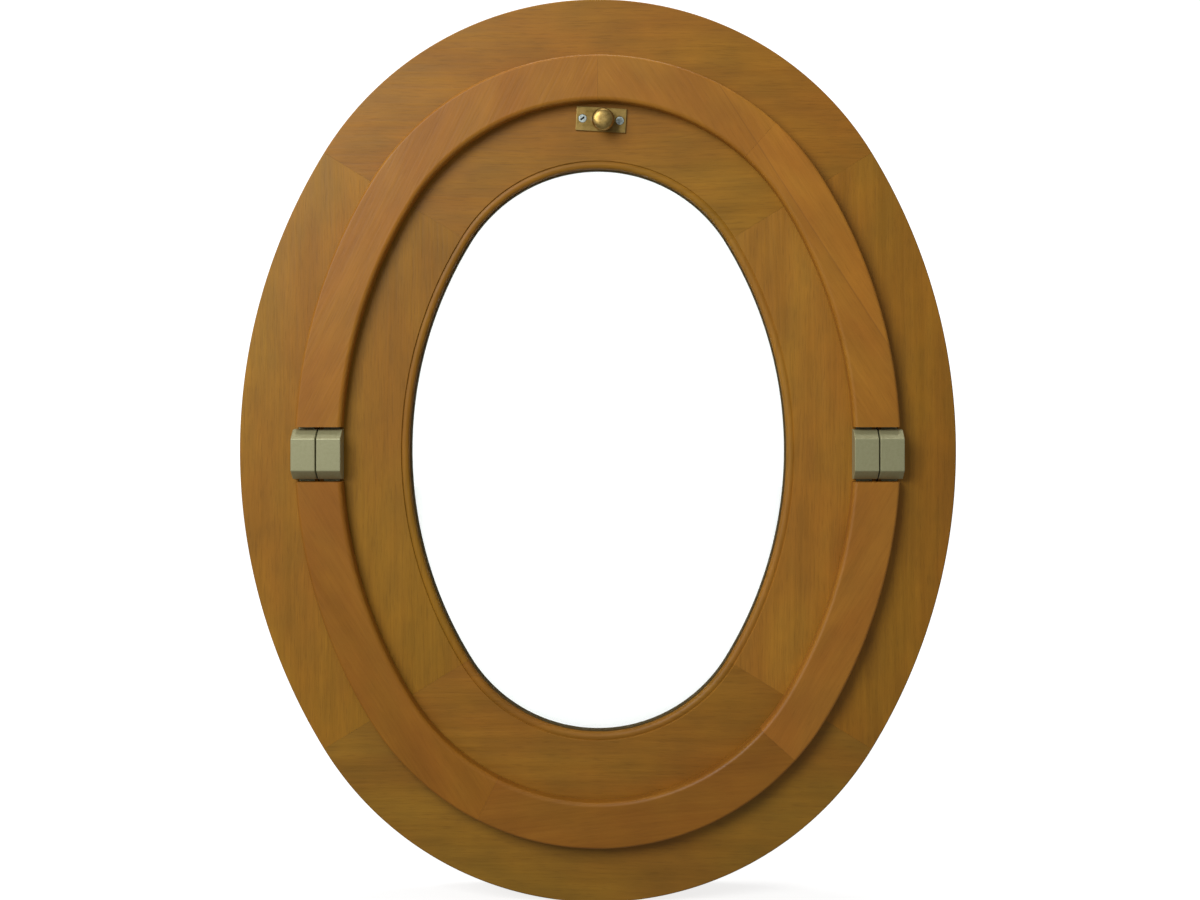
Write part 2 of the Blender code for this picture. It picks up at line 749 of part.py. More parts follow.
def latch_plate(sash_timber, sash_axis):
    """The face plate, fixed slightly out of level by two screws."""
    turn = Matrix.Rotation(math.radians(PLATE_TURN), 4, "Y")
    centre = Matrix.Translation((PLATE_X, FACE_Y - GAP, KNOB_Z + PLATE_ABOVE_KNOB)) @ turn
    half = (PLATE_LENGTH / 2, PLATE_HEIGHT / 2)
    bm = box((-half[0], -PLATE_THICKNESS, -half[1]), (half[0], 0, half[1]))
    bm.transform(centre)
    plate = piece("latch_plate", bm, BRASS, sash_axis)
    slot = slot_cutter("plate_slot", STEM_RADIUS + 2 * GAP, -0.005, 0.001)
    combine(plate, [slot])
    for name, x in (("left", -PLATE_SCREW_PITCH / 2), ("right", PLATE_SCREW_PITCH / 2)):
        seat = centre @ Matrix.Translation((x, -PLATE_THICKNESS + GAP, 0)) @ FACE_THE_ROOM
        add_screw(f"latch_plate_screw_{name}", PLATE_SCREW, seat, (plate, sash_timber), sash_axis)
    return plate


def latch_case(sash_timber, sash_axis):
    """The tube that guides the bolt, let into the sash from its rim."""
    inner = BOLT_RADIUS + GAP
    outer = inner + CASE_WALL
    top = KNOB_BELOW_RIM - CASE_BELOW_RIM
    floor = -BOLT_BELOW_KNOB - SPRING_ROOM
    profile = (
        (inner, top),
        (outer, top),
        (outer, floor - CASE_FLOOR),
        (0, floor - CASE_FLOOR),
        (0, floor),
        (inner, floor),
        (inner, top),
    )
    case = turned("latch_case", profile, ROUND_STEPS, upright(), BRASS, sash_axis)
    combine(case, [slot_cutter("case_slot", STEM_RADIUS + 2 * GAP, -0.005, LATCH_DEPTH)])
    mortise = rod(outer + GAP, KNOB_BELOW_RIM + 0.01, floor - CASE_FLOOR - GAP)
    holes = [
        turned_cutter("case_mortise", mortise, ROUND_STEPS, upright()),
        slot_cutter("stem_slot", STEM_RADIUS + 3 * GAP, -0.005, LATCH_DEPTH),
    ]
    combine(sash_timber, holes)


def latch_bolt(slide_axis):
    """The spring bolt with its rounded nose, and its stem to the knob."""
    nose = KNOB_BELOW_RIM + BOLT_THROW
    r = BOLT_RADIUS
    profile = (
        (0, nose),
        (0.5 * r, nose - 0.134 * r),
        (0.866 * r, nose - 0.5 * r),
        (r, nose - r),
        (r, -BOLT_BELOW_KNOB),
        (0, -BOLT_BELOW_KNOB),
    )
    bolt = turned("latch_bolt", profile, ROUND_STEPS, upright(), BRASS, slide_axis)
    stem_end = LATCH_DEPTH + 0.6 * BOLT_RADIUS
    stem_start = -KNOB_PROUD + 0.4 * KNOB_LENGTH
    socket = rod(STEM_RADIUS + GAP, LATCH_DEPTH + 0.01, -stem_end - GAP)
    combine(bolt, [turned_cutter("stem_socket", socket, ROUND_STEPS, at_knob(0))])
    stem = rod(STEM_RADIUS, -stem_start, -stem_end)
    turned("latch_stem", stem, ROUND_STEPS, at_knob(0), BRASS, slide_axis)
    return stem_start


def latch_knob(stem_start, slide_axis):
    """The turned knob: a narrow neck that swells to a rounded rim round a flat face."""
    front, back = KNOB_PROUD, KNOB_PROUD - KNOB_LENGTH
    swell = KNOB_RADIUS - KNOB_FACE_RADIUS
    profile = (
        (0, front),
        (KNOB_FACE_RADIUS, front),
        (KNOB_FACE_RADIUS + 0.6 * swell, front - 0.2 * swell),
        (KNOB_RADIUS, front - swell),
        (KNOB_RADIUS - 0.15 * swell, front - 1.8 * swell),
        (KNOB_NECK_RADIUS + 0.2 * swell, back + 1.4 * swell),
        (KNOB_NECK_RADIUS, back + swell),
        (KNOB_NECK_RADIUS + 0.3 * swell, back),
        (0, back),
    )
    knob = turned("latch_knob", profile, ROUND_STEPS, at_knob(0), BRASS, slide_axis)
    hole = rod(STEM_RADIUS + GAP, -stem_start + GAP, back - 0.005)
    combine(knob, [turned_cutter("knob_hole", hole, ROUND_STEPS, at_knob(0))])


def latch_spring(sash_axis):
    """The coil that pushes the bolt up, from the case's floor to the bolt's foot."""
    bottom = -BOLT_BELOW_KNOB - SPRING_ROOM + GAP + SPRING_WIRE
    top = -BOLT_BELOW_KNOB - GAP - SPRING_WIRE
    coil = BOLT_RADIUS - SPRING_WIRE - GAP
    per_turn = 10
    count = SPRING_TURNS * per_turn
    curve = bpy.data.curves.new("latch_spring", "CURVE")
    curve.dimensions = "3D"
    curve.bevel_depth = SPRING_WIRE
    curve.bevel_resolution = 1
    curve.use_fill_caps = True
    wire = curve.splines.new("POLY")
    wire.points.add(count)
    for index, point in enumerate(wire.points):
        turn = 2 * math.pi * index / per_turn
        height = KNOB_Z + bottom + (top - bottom) * index / count
        x = LATCH_X + coil * math.cos(turn)
        y = LATCH_Y + coil * math.sin(turn)
        point.co = (x, y, height, 1)
    spring = bpy.data.objects.new("latch_spring", curve)
    PARTS.objects.link(spring)
    return dress(spring, STEEL, sash_axis)


def strike(frame_timber):
    """The plate in the frame's rim that the bolt enters, its recess, its mortise and two screws."""
    half = Vector((STRIKE_LENGTH / 2, STRIKE_WIDTH / 2, 0))
    low = Vector((LATCH_X, LATCH_Y, STRIKE_Z)) - half
    high = Vector((LATCH_X, LATCH_Y, STRIKE_Z + STRIKE_THICKNESS)) + half
    plate = piece("strike_plate", box(low, high), BRASS)
    grow = Vector((GAP, GAP, GAP))
    drop = Vector((0, 0, 0.004))
    recess = cutter("strike_recess", box(low - grow - drop, high + grow))
    axis = Matrix.Translation((LATCH_X, LATCH_Y, STRIKE_Z))
    hole = rod(BOLT_RADIUS + 2 * GAP, STRIKE_MORTISE_DEPTH, -0.005)
    mortise = turned_cutter("strike_mortise", hole, ROUND_STEPS, axis)
    combine(plate, [mortise])
    combine(frame_timber, [recess, mortise])
    for name, x in (("left", -STRIKE_SCREW_PITCH / 2), ("right", STRIKE_SCREW_PITCH / 2)):
        seat = Matrix.Translation((LATCH_X + x, LATCH_Y, STRIKE_Z + GAP)) @ FACE_DOWN
        add_screw(f"strike_screw_{name}", STRIKE_SCREW, seat, (plate, frame_timber))


def latch(sash_timber, frame_timber, sash_axis, slide_axis):
    latch_plate(sash_timber, sash_axis)
    latch_case(sash_timber, sash_axis)
    stem_start = latch_bolt(slide_axis)
    latch_knob(stem_start, slide_axis)
    latch_spring(sash_axis)
    strike(frame_timber)


def main():
    sash_axis = empty("sash_axis", (0, FACE_Y, PIVOT_Z))
    slide_axis = empty("latch_axis", (LATCH_X, LATCH_Y, KNOB_Z))
    frame = ring_of_four("frame", frame_profile(), OAK)
    sash = ring_of_four("sash", sash_profile(), OAK, sash_axis)
    upper_band(sash_axis)
    lower_band()
    outer_stop()
    glazing(sash_axis)
    for side_name, side in (("left", -1), ("right", 1)):
        pivot(side_name, side, frame[side_name], sash[side_name], sash_axis)
    latch(sash["top"], frame["top"], sash_axis, slide_axis)


clear_scene()
PARTS = new_collection("oval_pivot_window")
CUTTERS = new_collection("cutters")
main()
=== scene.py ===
"""Oval centre-pivoted timber window: its fine pieces, their finishes and the studio round it.

Metres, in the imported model's frame: +Z up, +X to the right as seen from the room, +Y towards the
outside. A place on a ring is the angle of its normal (0 at +X, 90 at +Z), an offset in from the
outer edge, and a depth from the room face towards the outside.
"""

import logging
import math
from collections.abc import Iterable, Sequence
from dataclasses import dataclass
from enum import Enum

import bmesh
import bpy
from mathutils import Matrix, Vector


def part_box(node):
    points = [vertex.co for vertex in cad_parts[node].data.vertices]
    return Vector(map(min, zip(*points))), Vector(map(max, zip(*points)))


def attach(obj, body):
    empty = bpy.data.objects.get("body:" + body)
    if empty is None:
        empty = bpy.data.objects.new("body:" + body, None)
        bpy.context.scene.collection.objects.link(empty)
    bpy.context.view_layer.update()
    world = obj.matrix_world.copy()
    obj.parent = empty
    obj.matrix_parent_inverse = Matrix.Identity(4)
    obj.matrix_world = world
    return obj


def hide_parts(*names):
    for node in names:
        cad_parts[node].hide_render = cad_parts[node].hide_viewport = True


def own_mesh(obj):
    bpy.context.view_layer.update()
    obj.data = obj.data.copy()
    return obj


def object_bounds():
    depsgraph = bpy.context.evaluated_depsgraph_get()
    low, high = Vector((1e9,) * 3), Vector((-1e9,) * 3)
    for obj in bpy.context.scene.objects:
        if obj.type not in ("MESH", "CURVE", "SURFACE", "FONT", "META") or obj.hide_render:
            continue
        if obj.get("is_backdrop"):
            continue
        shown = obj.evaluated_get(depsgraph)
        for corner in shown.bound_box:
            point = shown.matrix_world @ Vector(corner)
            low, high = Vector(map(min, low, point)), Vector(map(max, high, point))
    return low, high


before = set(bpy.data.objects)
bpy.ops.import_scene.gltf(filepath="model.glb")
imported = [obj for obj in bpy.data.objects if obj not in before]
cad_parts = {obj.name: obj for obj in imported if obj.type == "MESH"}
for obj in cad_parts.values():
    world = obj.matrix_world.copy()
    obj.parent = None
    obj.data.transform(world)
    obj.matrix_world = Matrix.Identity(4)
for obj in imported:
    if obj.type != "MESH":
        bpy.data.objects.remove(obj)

log = logging.getLogger("oval_window")

Colour = tuple[float, float, float]
Corner = tuple[float, float, float]
Span = tuple[float, float]
Facets = tuple[tuple[float, int], ...]
Inputs = dict[str | int, object]
Mesh = bmesh.types.BMesh
Node = bpy.types.Node
Socket = bpy.types.NodeSocket

SMOOTH_ANGLE = math.radians(32)
SHARP_ANGLE = math.radians(30)
WHITE = (1.0, 1.0, 1.0, 1.0)
UNIT: Span = (0.0, 1.0)
FACE_THE_ROOM = Matrix.Rotation(math.radians(90), 4, "X")
FACE_DOWN = Matrix.Rotation(math.radians(180), 4, "X")
FACE_RIGHT = Matrix.Rotation(math.radians(90), 4, "Y")

GAP = 0.0003  # between pieces that touch
PAST = 0.005  # how far a cutter runs past the face that it opens
LAP = 0.001  # how far joined shapes reach into each other
NEAR = 1e-6  # closer than this is the same place
PIVOT_Z = -0.0024  # height of the pivots' axis
SEAL_WIDTH = 0.004
SEAL_FOOT = 0.0037  # the seal's height in its groove
SEAL_SHORT = 0.001  # how far a seal stops short of the strip that holds it


class Body(Enum):
    """The bodies that pieces ride on."""

    FRAME = "frame"
    SASH = "sash"
    LATCH = "latch"


class Slot(Enum):
    """The record's material slots."""

    OAK = "oak"
    CHESTNUT = "chestnut"
    ZINC = "satin_zinc"
    BRASS = "brass"
    STEEL = "bright_steel"
    RUBBER = "black_rubber"
    FIBRE = "fibre_washer"
    GLASS = "clear_glass"
    SPACER = "spacer_bar"


def srgb(*levels: float) -> Colour:
    """Turns a display colour, each level 0 to 255, into the linear one that a shader takes."""
    shares = (level / 255 for level in levels)
    return tuple(share / 12.92 if share <= 0.04045 else ((share + 0.055) / 1.055) ** 2.4 for share in shares)


# Finishes


class Nodes:
    """Builds the node tree of a material or of the world."""

    def __init__(self, holder: bpy.types.Material | bpy.types.World, shader: str = "Principled BSDF") -> None:
        """Starts with the holder's own shader.

        Args:
            holder: The material or the world.
            shader: The name of its shader node.
        """
        holder.use_nodes = True
        self.holder = holder
        self.tree = holder.node_tree
        self.shader = self.tree.nodes[shader]

    def give(self, node: Node, inputs: Inputs) -> Node:
        """Links or sets a node's inputs.

        Args:
            node: The node.
            inputs: What each input takes, by its name or number: a socket or a value.

        Returns:
            The same node.
        """
        for key, value in inputs.items():
            if isinstance(value, Socket):
                self.tree.links.new(value, node.inputs[key])
            else:
                node.inputs[key].default_value = value
        return node

    def add(self, kind: str, inputs: Inputs, **settings: object) -> Node:
        """Adds a node.

        Args:
            kind: The node's type, without its ShaderNode prefix.
            inputs: What each input takes.
            **settings: The node's own properties.

        Returns:
            The new node.
        """
        node = self.tree.nodes.new(f"ShaderNode{kind}")
        for key, value in settings.items():
            setattr(node, key, value)
        return self.give(node, inputs)

    def place(self, turn: float = 0.0, shift: float = 0.0) -> Socket:
        """Object coordinates turned about Y, so that the grain runs along their X.

        Args:
            turn: The grain's angle above +X, in degrees.
            shift: How far the pattern is moved, so that no two pieces share it.

        Returns:
            The coordinates' socket.
        """
        source = self.add("TexCoord", {}).outputs["Object"]
        moved = {"Rotation": (0, math.radians(turn), 0), "Location": (shift, shift / 3, shift / 7)}
        return self.add("Mapping", {"Vector": source, **moved}).outputs[0]

    def texture(self, vector: Socket, scale: Colour, detail: float) -> Node:
        """A noise texture over coordinates scaled by axis."""
        stretched = self.add("Mapping", {"Vector": vector, "Scale": scale}).outputs[0]
        return self.add("TexNoise", {"Vector": stretched, "Detail": detail, "Scale": 1.0})

    def noise(self, vector: Socket, scale: Colour, detail: float) -> Socket:
        """Noise of 0 to 1 over coordinates scaled by axis."""
        return self.texture(vector, scale, detail).outputs["Fac"]

    def wander(self, vector: Socket, amount: Colour, scale: Colour) -> Socket:
        """Bends coordinates along each axis by a slow noise."""
        bend = self.texture(vector, scale, 2.0).outputs["Color"]
        return self.add("VectorMath", {0: bend, 1: amount, 2: vector}, operation="MULTIPLY_ADD").outputs[0]

    def span(self, value: Socket, source: Span, target: Span = UNIT) -> Socket:
        """Carries a value from one range to another, held inside it."""
        inputs = {"Value": value, 1: source[0], 2: source[1], 3: target[0], 4: target[1]}
        return self.add("MapRange", inputs).outputs[0]

    def mix(self, factor: Socket | float, first: object, second: object, blend: str = "MIX") -> Socket:
        """Mixes two colours, each a socket or a linear colour."""
        sides = [side if isinstance(side, Socket) else (*side, 1.0) for side in (first, second)]
        inputs = {0: factor, 6: sides[0], 7: sides[1]}
        return self.add("Mix", inputs, data_type="RGBA", blend_type=blend).outputs[2]

    def tint(self, first: object, second: object) -> Socket:
        """Multiplies two colours."""
        return self.mix(1.0, first, second, "MULTIPLY")

    def math(self, operation: str, *values: Socket | float) -> Socket:
        """Works out a sum."""
        return self.add("Math", dict(enumerate(values)), operation=operation).outputs[0]

    def sum_of(self, first: Socket, second: Socket, weight: float) -> Socket:
        """Adds a weighted second value to a first."""
        return self.math("MULTIPLY_ADD", second, weight, first)

    def edges(self, low: float, high: float) -> Socket:
        """How much a place is an edge, 0 to 1."""
        return self.span(self.add("NewGeometry", {}).outputs["Pointiness"], (low, high))

    def bump(self, height: Socket, strength: float, distance: float) -> None:
        """Gives the shader a bump."""
        inputs = {"Height": height, "Strength": strength, "Distance": distance}
        self.give(self.shader, {"Normal": self.add("Bump", inputs).outputs[0]})

    def set(self, **inputs: object) -> bpy.types.Material | bpy.types.World:
        """Sets the shader's inputs, with spaces written as underscores, and returns the holder."""
        self.give(self.shader, {key.replace("_", " "): value for key, value in inputs.items()})
        return self.holder


@dataclass(frozen=True)
class Look:
    """What a piece wears: the record's slot and its own material."""

    slot: Slot
    material: bpy.types.Material


@dataclass(frozen=True)
class Timber:
    """A stained hardwood under satin varnish."""

    slot: Slot
    pale: Colour
    rich: Colour
    dark: Colour
    patch_scale: Colour = (7.0, 12.0, 22.0)
    streak_depth: float = 0.34
    pore_depth: float = 0.18
    clouds: tuple[Colour, Colour] = ((0.90, 0.91, 0.94), (1.08, 1.05, 0.98))
    roughness: Span = (0.40, 0.54)
    coat: float = 0.04
    glue_width: float = 0.0005
    glue_depth: float = 0.3

    def dress(
        self, name: str, grain: float, shift: float, tone: Colour, glue: tuple[float, Colour] | None = None
    ) -> Look:
        """Makes the finish of one length of timber.

        Args:
            name: The material's name.
            grain: The grain's angle above +X, in degrees.
            shift: Moves the pattern, so that each length has its own.
            tone: A tint of this length: the wood's own tone, and on the frame, sash and band lengths painted light
                and shade as well.
            glue: A glue line along the grain: its distance from the middle, across the grain, and the
                tint of the board beyond it.

        Returns:
            The look.
        """
        nodes = Nodes(bpy.data.materials.new(name))
        bent = nodes.wander(nodes.place(grain, shift), (0.0, 0.0, 0.014), (3.2, 6.0, 9.0))
        patch = nodes.noise(bent, self.patch_scale, 3.0)
        broad = nodes.noise(bent, (5.5, 40.0, 82.0), 3.0)
        fine = nodes.noise(bent, (14.0, 160.0, 430.0), 3.0)
        pores = nodes.noise(bent, (75.0, 500.0, 1500.0), 1.0)
        cloud = nodes.noise(bent, (24.0, 24.0, 46.0), 4.0)
        body = nodes.mix(nodes.span(patch, (0.36, 0.64)), self.pale, self.rich)
        streak = nodes.sum_of(nodes.span(broad, (0.30, 0.72), (0.0, 0.5)), nodes.span(fine, (0.32, 0.7)), 0.5)
        streaked = nodes.mix(nodes.span(streak, (0.1, 0.85), (self.streak_depth, 0.0)), body, self.dark)
        flecks = nodes.span(pores, (0.56, 0.70), (0.0, self.pore_depth))
        pored = nodes.mix(flecks, streaked, tuple(0.45 * value for value in self.dark))
        clouded = nodes.mix(nodes.span(cloud, (0.34, 0.66)), *self.clouds)
        wood = nodes.tint(nodes.tint(pored, clouded), tone)
        if glue:
            wood = self.glue_up(nodes, wood, nodes.place(grain), *glue)
        nodes.bump(nodes.sum_of(streak, flecks, -1.2), 0.22, 0.0005)
        rough = nodes.span(nodes.sum_of(streak, patch, 0.6), (0.2, 1.2), self.roughness)
        varnish = {"Specular_IOR_Level": 0.25, "Coat_Weight": self.coat, "Coat_Roughness": 0.28}
        return Look(self.slot, nodes.set(Base_Color=wood, Roughness=rough, **varnish))

    def glue_up(self, nodes: Nodes, wood: Socket, place: Socket, line: float, tint: Colour) -> Socket:
        """Draws a glue line between two boards.

        Args:
            nodes: The material's tree.
            wood: The colour of both boards.
            place: Coordinates with the grain along X, from the window's middle.
            line: The line's distance across the grain.
            tint: The tint of the board beyond it.

        Returns:
            The colour's socket.
        """
        across = nodes.add("SeparateXYZ", {"Vector": place}).outputs["Z"]
        beyond = nodes.span(across, (line - 0.0002, line + 0.0002))
        boards = nodes.mix(beyond, wood, nodes.tint(wood, tint))
        near = nodes.math("COMPARE", across, line, self.glue_width)
        return nodes.mix(nodes.span(near, UNIT, (0.0, self.glue_depth)), boards, self.dark)


@dataclass(frozen=True)
class Metal:
    """A metal with its grain, its mottling, its edges lightened partly as wear and partly as a painted highlight,
    and, where asked, painted shade in its hollows.
    """

    slot: Slot
    base: Colour
    aged: Colour
    bright: Colour
    metallic: float = 1.0
    roughness: Span = (0.22, 0.36)
    grain: Colour = (900.0, 900.0, 900.0)
    mottle: float = 260.0
    # edge: the pointiness range of the edges that are lightened, partly as wear and partly as a painted highlight
    edge: Span = (0.52, 0.62)
    # painted shade: hollows of low pointiness, such as a screw's cross recess, darkened nearly to black
    painted_hollow_shade: Span | None = None

    def dress(self, name: str, turn: float = 0.0, shift: float = 0.0) -> Look:
        """Makes the finish.

        Args:
            name: The material's name.
            turn: The angle above +X of the brushing, in degrees.
            shift: Moves the pattern.

        Returns:
            The look.
        """
        nodes = Nodes(bpy.data.materials.new(name))
        place = nodes.place(turn, shift)
        mottle = nodes.noise(place, (self.mottle,) * 3, 4.0)
        grain = nodes.noise(place, self.grain, 2.0)
        body = nodes.mix(nodes.span(mottle, (0.38, 0.68)), self.base, self.aged)
        brushed = nodes.mix(nodes.span(grain, (0.3, 0.7), (0.0, 0.22)), body, self.bright)
        # edges lightened towards the bright colour: partly wear, partly a painted highlight
        worn_and_painted_light = nodes.mix(nodes.edges(*self.edge), brushed, self.bright)
        # painted shade: the hollows darkened nearly to black
        if self.painted_hollow_shade:
            worn_and_painted_light = nodes.mix(nodes.edges(*self.painted_hollow_shade), worn_and_painted_light, tuple(0.08 * value for value in self.aged))
        nodes.bump(nodes.sum_of(grain, mottle, 0.6), 0.12, 0.0002)
        rough = nodes.span(nodes.sum_of(grain, mottle, 1.0), (0.7, 1.3), self.roughness)
        return Look(self.slot, nodes.set(Base_Color=worn_and_painted_light, Roughness=rough, Metallic=self.metallic))


@dataclass(frozen=True)
class Rubber:
    """An extruded rubber or fibre, slightly dusty."""

    slot: Slot
    base: Colour
    dust: Colour
    roughness: Span = (0.55, 0.8)

    def dress(self, name: str) -> Look:
        """Makes the finish called name and returns its look."""
        nodes = Nodes(bpy.data.materials.new(name))
        place = nodes.place()
        cloud = nodes.noise(place, (120.0,) * 3, 4.0)
        speck = nodes.noise(place, (2600.0,) * 3, 2.0)
        dusted = nodes.mix(nodes.span(cloud, (0.45, 0.75), (0.0, 0.6)), self.base, self.dust)
        nodes.bump(speck, 0.2, 0.0002)
        rough = nodes.span(speck, (0.3, 0.7), self.roughness)
        return Look(self.slot, nodes.set(Base_Color=dusted, Roughness=rough, Specular_IOR_Level=0.25))


@dataclass(frozen=True)
class Glass:
    """Clear float glass with a faint green body and a few wiped smears."""

    slot: Slot = Slot.GLASS
    tint: Colour = (0.965, 0.985, 0.975)
    smeared: Colour = (0.985, 0.995, 0.99)

    def dress(self, name: str) -> Look:
        """Makes the finish called name and returns its look."""
        nodes = Nodes(bpy.data.materials.new(name))
        smear = nodes.noise(nodes.place(20.0), (5.0, 5.0, 28.0), 3.0)
        rough = nodes.span(smear, (0.5, 0.8), (0.0, 0.012))
        cast = nodes.mix(smear, self.tint, self.smeared)
        return Look(self.slot, nodes.set(Base_Color=cast, Roughness=rough, IOR=1.5, Transmission_Weight=1.0))


OAK = Timber(Slot.OAK, srgb(164, 119, 43), srgb(158, 108, 39), srgb(116, 80, 27))
CHESTNUT = Timber(
    Slot.CHESTNUT,
    srgb(168, 117, 50),
    srgb(162, 108, 45),
    srgb(128, 84, 34),
    patch_scale=(16.0, 14.0, 34.0),
    streak_depth=0.30,
    pore_depth=0.12,
    clouds=((0.93, 0.93, 0.94), (1.06, 1.04, 1.0)),
    roughness=(0.36, 0.48),
    coat=0.06,
)
ZINC = Metal(
    Slot.ZINC,
    srgb(156, 154, 116),
    srgb(147, 145, 106),
    srgb(184, 182, 142),
    metallic=0.25,
    roughness=(0.34, 0.46),
    grain=(1500.0, 1500.0, 1500.0),
    mottle=420.0,
)
BRASS_PLATE = Metal(
    Slot.BRASS,
    srgb(144, 119, 68),
    srgb(106, 86, 38),
    srgb(176, 150, 88),
    roughness=(0.38, 0.56),
    grain=(60.0, 1200.0, 2400.0),
    mottle=180.0,
)
BRASS_TURNED = Metal(
    Slot.BRASS, srgb(178, 148, 82), srgb(137, 109, 54), srgb(218, 195, 140), roughness=(0.34, 0.46), mottle=380.0
)
STEEL = Metal(
    Slot.STEEL,
    srgb(186, 198, 192),
    srgb(150, 162, 158),
    srgb(220, 230, 224),
    metallic=0.7,
    roughness=(0.30, 0.46),
    mottle=700.0,
    # painted shade in the hollows of the screw heads' recesses
    painted_hollow_shade=(0.53, 0.48),
)
ALUMINIUM = Metal(
    Slot.SPACER,
    srgb(150, 154, 142),
    srgb(126, 131, 120),
    srgb(176, 180, 168),
    roughness=(0.34, 0.5),
    grain=(400.0, 400.0, 2600.0),
)
RUBBER = Rubber(Slot.RUBBER, (0.018, 0.020, 0.018), (0.060, 0.062, 0.055))
GASKET = Rubber(Slot.RUBBER, (0.105, 0.074, 0.026), (0.140, 0.105, 0.046), (0.85, 0.95))
FIBRE = Rubber(Slot.FIBRE, (0.050, 0.040, 0.032), (0.110, 0.090, 0.070), (0.6, 0.85))
GLASS = Glass()


# Mesh work

RING_FACETS: Facets = ((0.001, 2), (0.002, 3), (math.inf, 6))
TURNED_FACETS: Facets = ((0.0006, 2), (math.inf, 5))


def bevel(bm: Mesh, geom: list, width: float, segments: int, affect: str = "EDGES") -> None:
    """Rounds edges or corners, and holds edges to the room they have."""
    how = {"profile": 0.5, "affect": affect, "material": -1, "clamp_overlap": affect == "EDGES"}
    bmesh.ops.bevel(bm, geom=geom, offset=width, segments=segments, **how)


def outline(bm: Mesh, points: Iterable, corners: Sequence[Corner], closed: bool, facets: Facets) -> list:
    """Draws an outline with rounded corners.

    Args:
        bm: The mesh it is drawn in.
        points: Where its corners stand.
        corners: The corners as the section gives them, each with its rounding last.
        closed: Whether its last corner joins its first.
        facets: How many facets a rounding under each size gets.

    Returns:
        The outline's vertices and edges.
    """
    drawn = [bm.verts.new(point) for point in points]
    for pair in zip(drawn, drawn[1:] + drawn[:1] if closed else drawn[1:]):
        bm.edges.new(pair)
    for vertex, (_, _, rounding) in zip(drawn, corners):
        if rounding:
            bevel(bm, [vertex], rounding, next(count for under, count in facets if rounding < under), "VERTICES")
    return bm.verts[:] + bm.edges[:]


def cut_away(bm: Mesh, point: Vector, keep: Vector) -> None:
    """Removes what lies behind a plane through point, whose normal keep is on the side that stays."""
    geom = bm.verts[:] + bm.edges[:] + bm.faces[:]
    bmesh.ops.bisect_plane(bm, geom=geom, plane_co=point, plane_no=keep, clear_inner=True, dist=1e-7)


def close_ends(bm: Mesh) -> Mesh:
    """Closes every hole with one face."""
    bmesh.ops.holes_fill(bm, edges=[edge for edge in bm.edges if edge.is_boundary])
    return bm


def soften(bm: Mesh, width: float, segments: int = 2) -> Mesh:
    """Rounds a mesh's sharp edges and returns it."""
    bmesh.ops.recalc_face_normals(bm, faces=bm.faces)
    sharp = [edge for edge in bm.edges if len(edge.link_faces) == 2 and edge.calc_face_angle() > SHARP_ANGLE]
    bevel(bm, sharp, width, segments)
    return bm


def block(low: Sequence[float], high: Sequence[float]) -> Mesh:
    """A box between two corners."""
    bm = bmesh.new()
    low, high = Vector(low), Vector(high)
    scale = Matrix.Diagonal((*(high - low), 1))
    bmesh.ops.create_cube(bm, size=1.0, matrix=Matrix.Translation((low + high) / 2) @ scale)
    return bm


def turned(profile: Sequence[Corner], matrix: Matrix, steps: int, loop: bool = False) -> Mesh:
    """Turns a profile about its own Z.

    Args:
        profile: Each corner's radius, height and rounding.
        matrix: Where the turned piece goes.
        steps: The facets round it.
        loop: Whether the profile is a closed loop.

    Returns:
        The turned mesh.
    """
    bm = bmesh.new()
    geom = outline(bm, ((radius, 0, height) for radius, height, _ in profile), profile, loop, TURNED_FACETS)
    bmesh.ops.spin(bm, geom=geom, cent=(0, 0, 0), axis=(0, 0, 1), angle=2 * math.pi, steps=steps, use_merge=True)
    bmesh.ops.remove_doubles(bm, verts=bm.verts, dist=1e-7)
    bmesh.ops.dissolve_degenerate(bm, edges=bm.edges, dist=1e-8)
    bmesh.ops.recalc_face_normals(bm, faces=bm.faces)
    bm.transform(matrix)
    return bm


def rod(radius: float, top: float, bottom: float, rounding: float = 0.0) -> tuple[Corner, ...]:
    """The profile of a plain round bar."""
    return ((0, top, 0), (radius, top, rounding), (radius, bottom, rounding), (0, bottom, 0))


def linked(name: str, data: bpy.types.ID) -> bpy.types.Object:
    """Makes an object of some data and puts it in the scene."""
    made = bpy.data.objects.new(name, data)
    bpy.context.scene.collection.objects.link(made)
    return made


def mesh_object(name: str, bm: Mesh) -> bpy.types.Object:
    """Turns a mesh in the making, which is used up, into an object at the origin."""
    bmesh.ops.recalc_face_normals(bm, faces=bm.faces)
    mesh = bpy.data.meshes.new(name)
    bm.to_mesh(mesh)
    bm.free()
    return linked(name, mesh)


def carve(made: bpy.types.Object, shapes: Iterable[Mesh], operation: str) -> None:
    """Cuts shapes out of an object, or joins them to it.

    Args:
        made: The object.
        shapes: The shapes, which are used up.
        operation: The Boolean operation.
    """
    helpers = [mesh_object(f"helper_{number}", bm) for number, bm in enumerate(shapes)]
    for helper in helpers:
        step = made.modifiers.new(helper.name, "BOOLEAN")
        step.operation = operation
        step.solver = "EXACT"
        step.object = helper
    graph = bpy.context.evaluated_depsgraph_get()
    mesh = bpy.data.meshes.new_from_object(made.evaluated_get(graph))
    made.modifiers.clear()
    used = [made.data, *(helper.data for helper in helpers)]
    made.data = mesh
    for old in used:
        bpy.data.meshes.remove(old)
    mesh.name = made.name


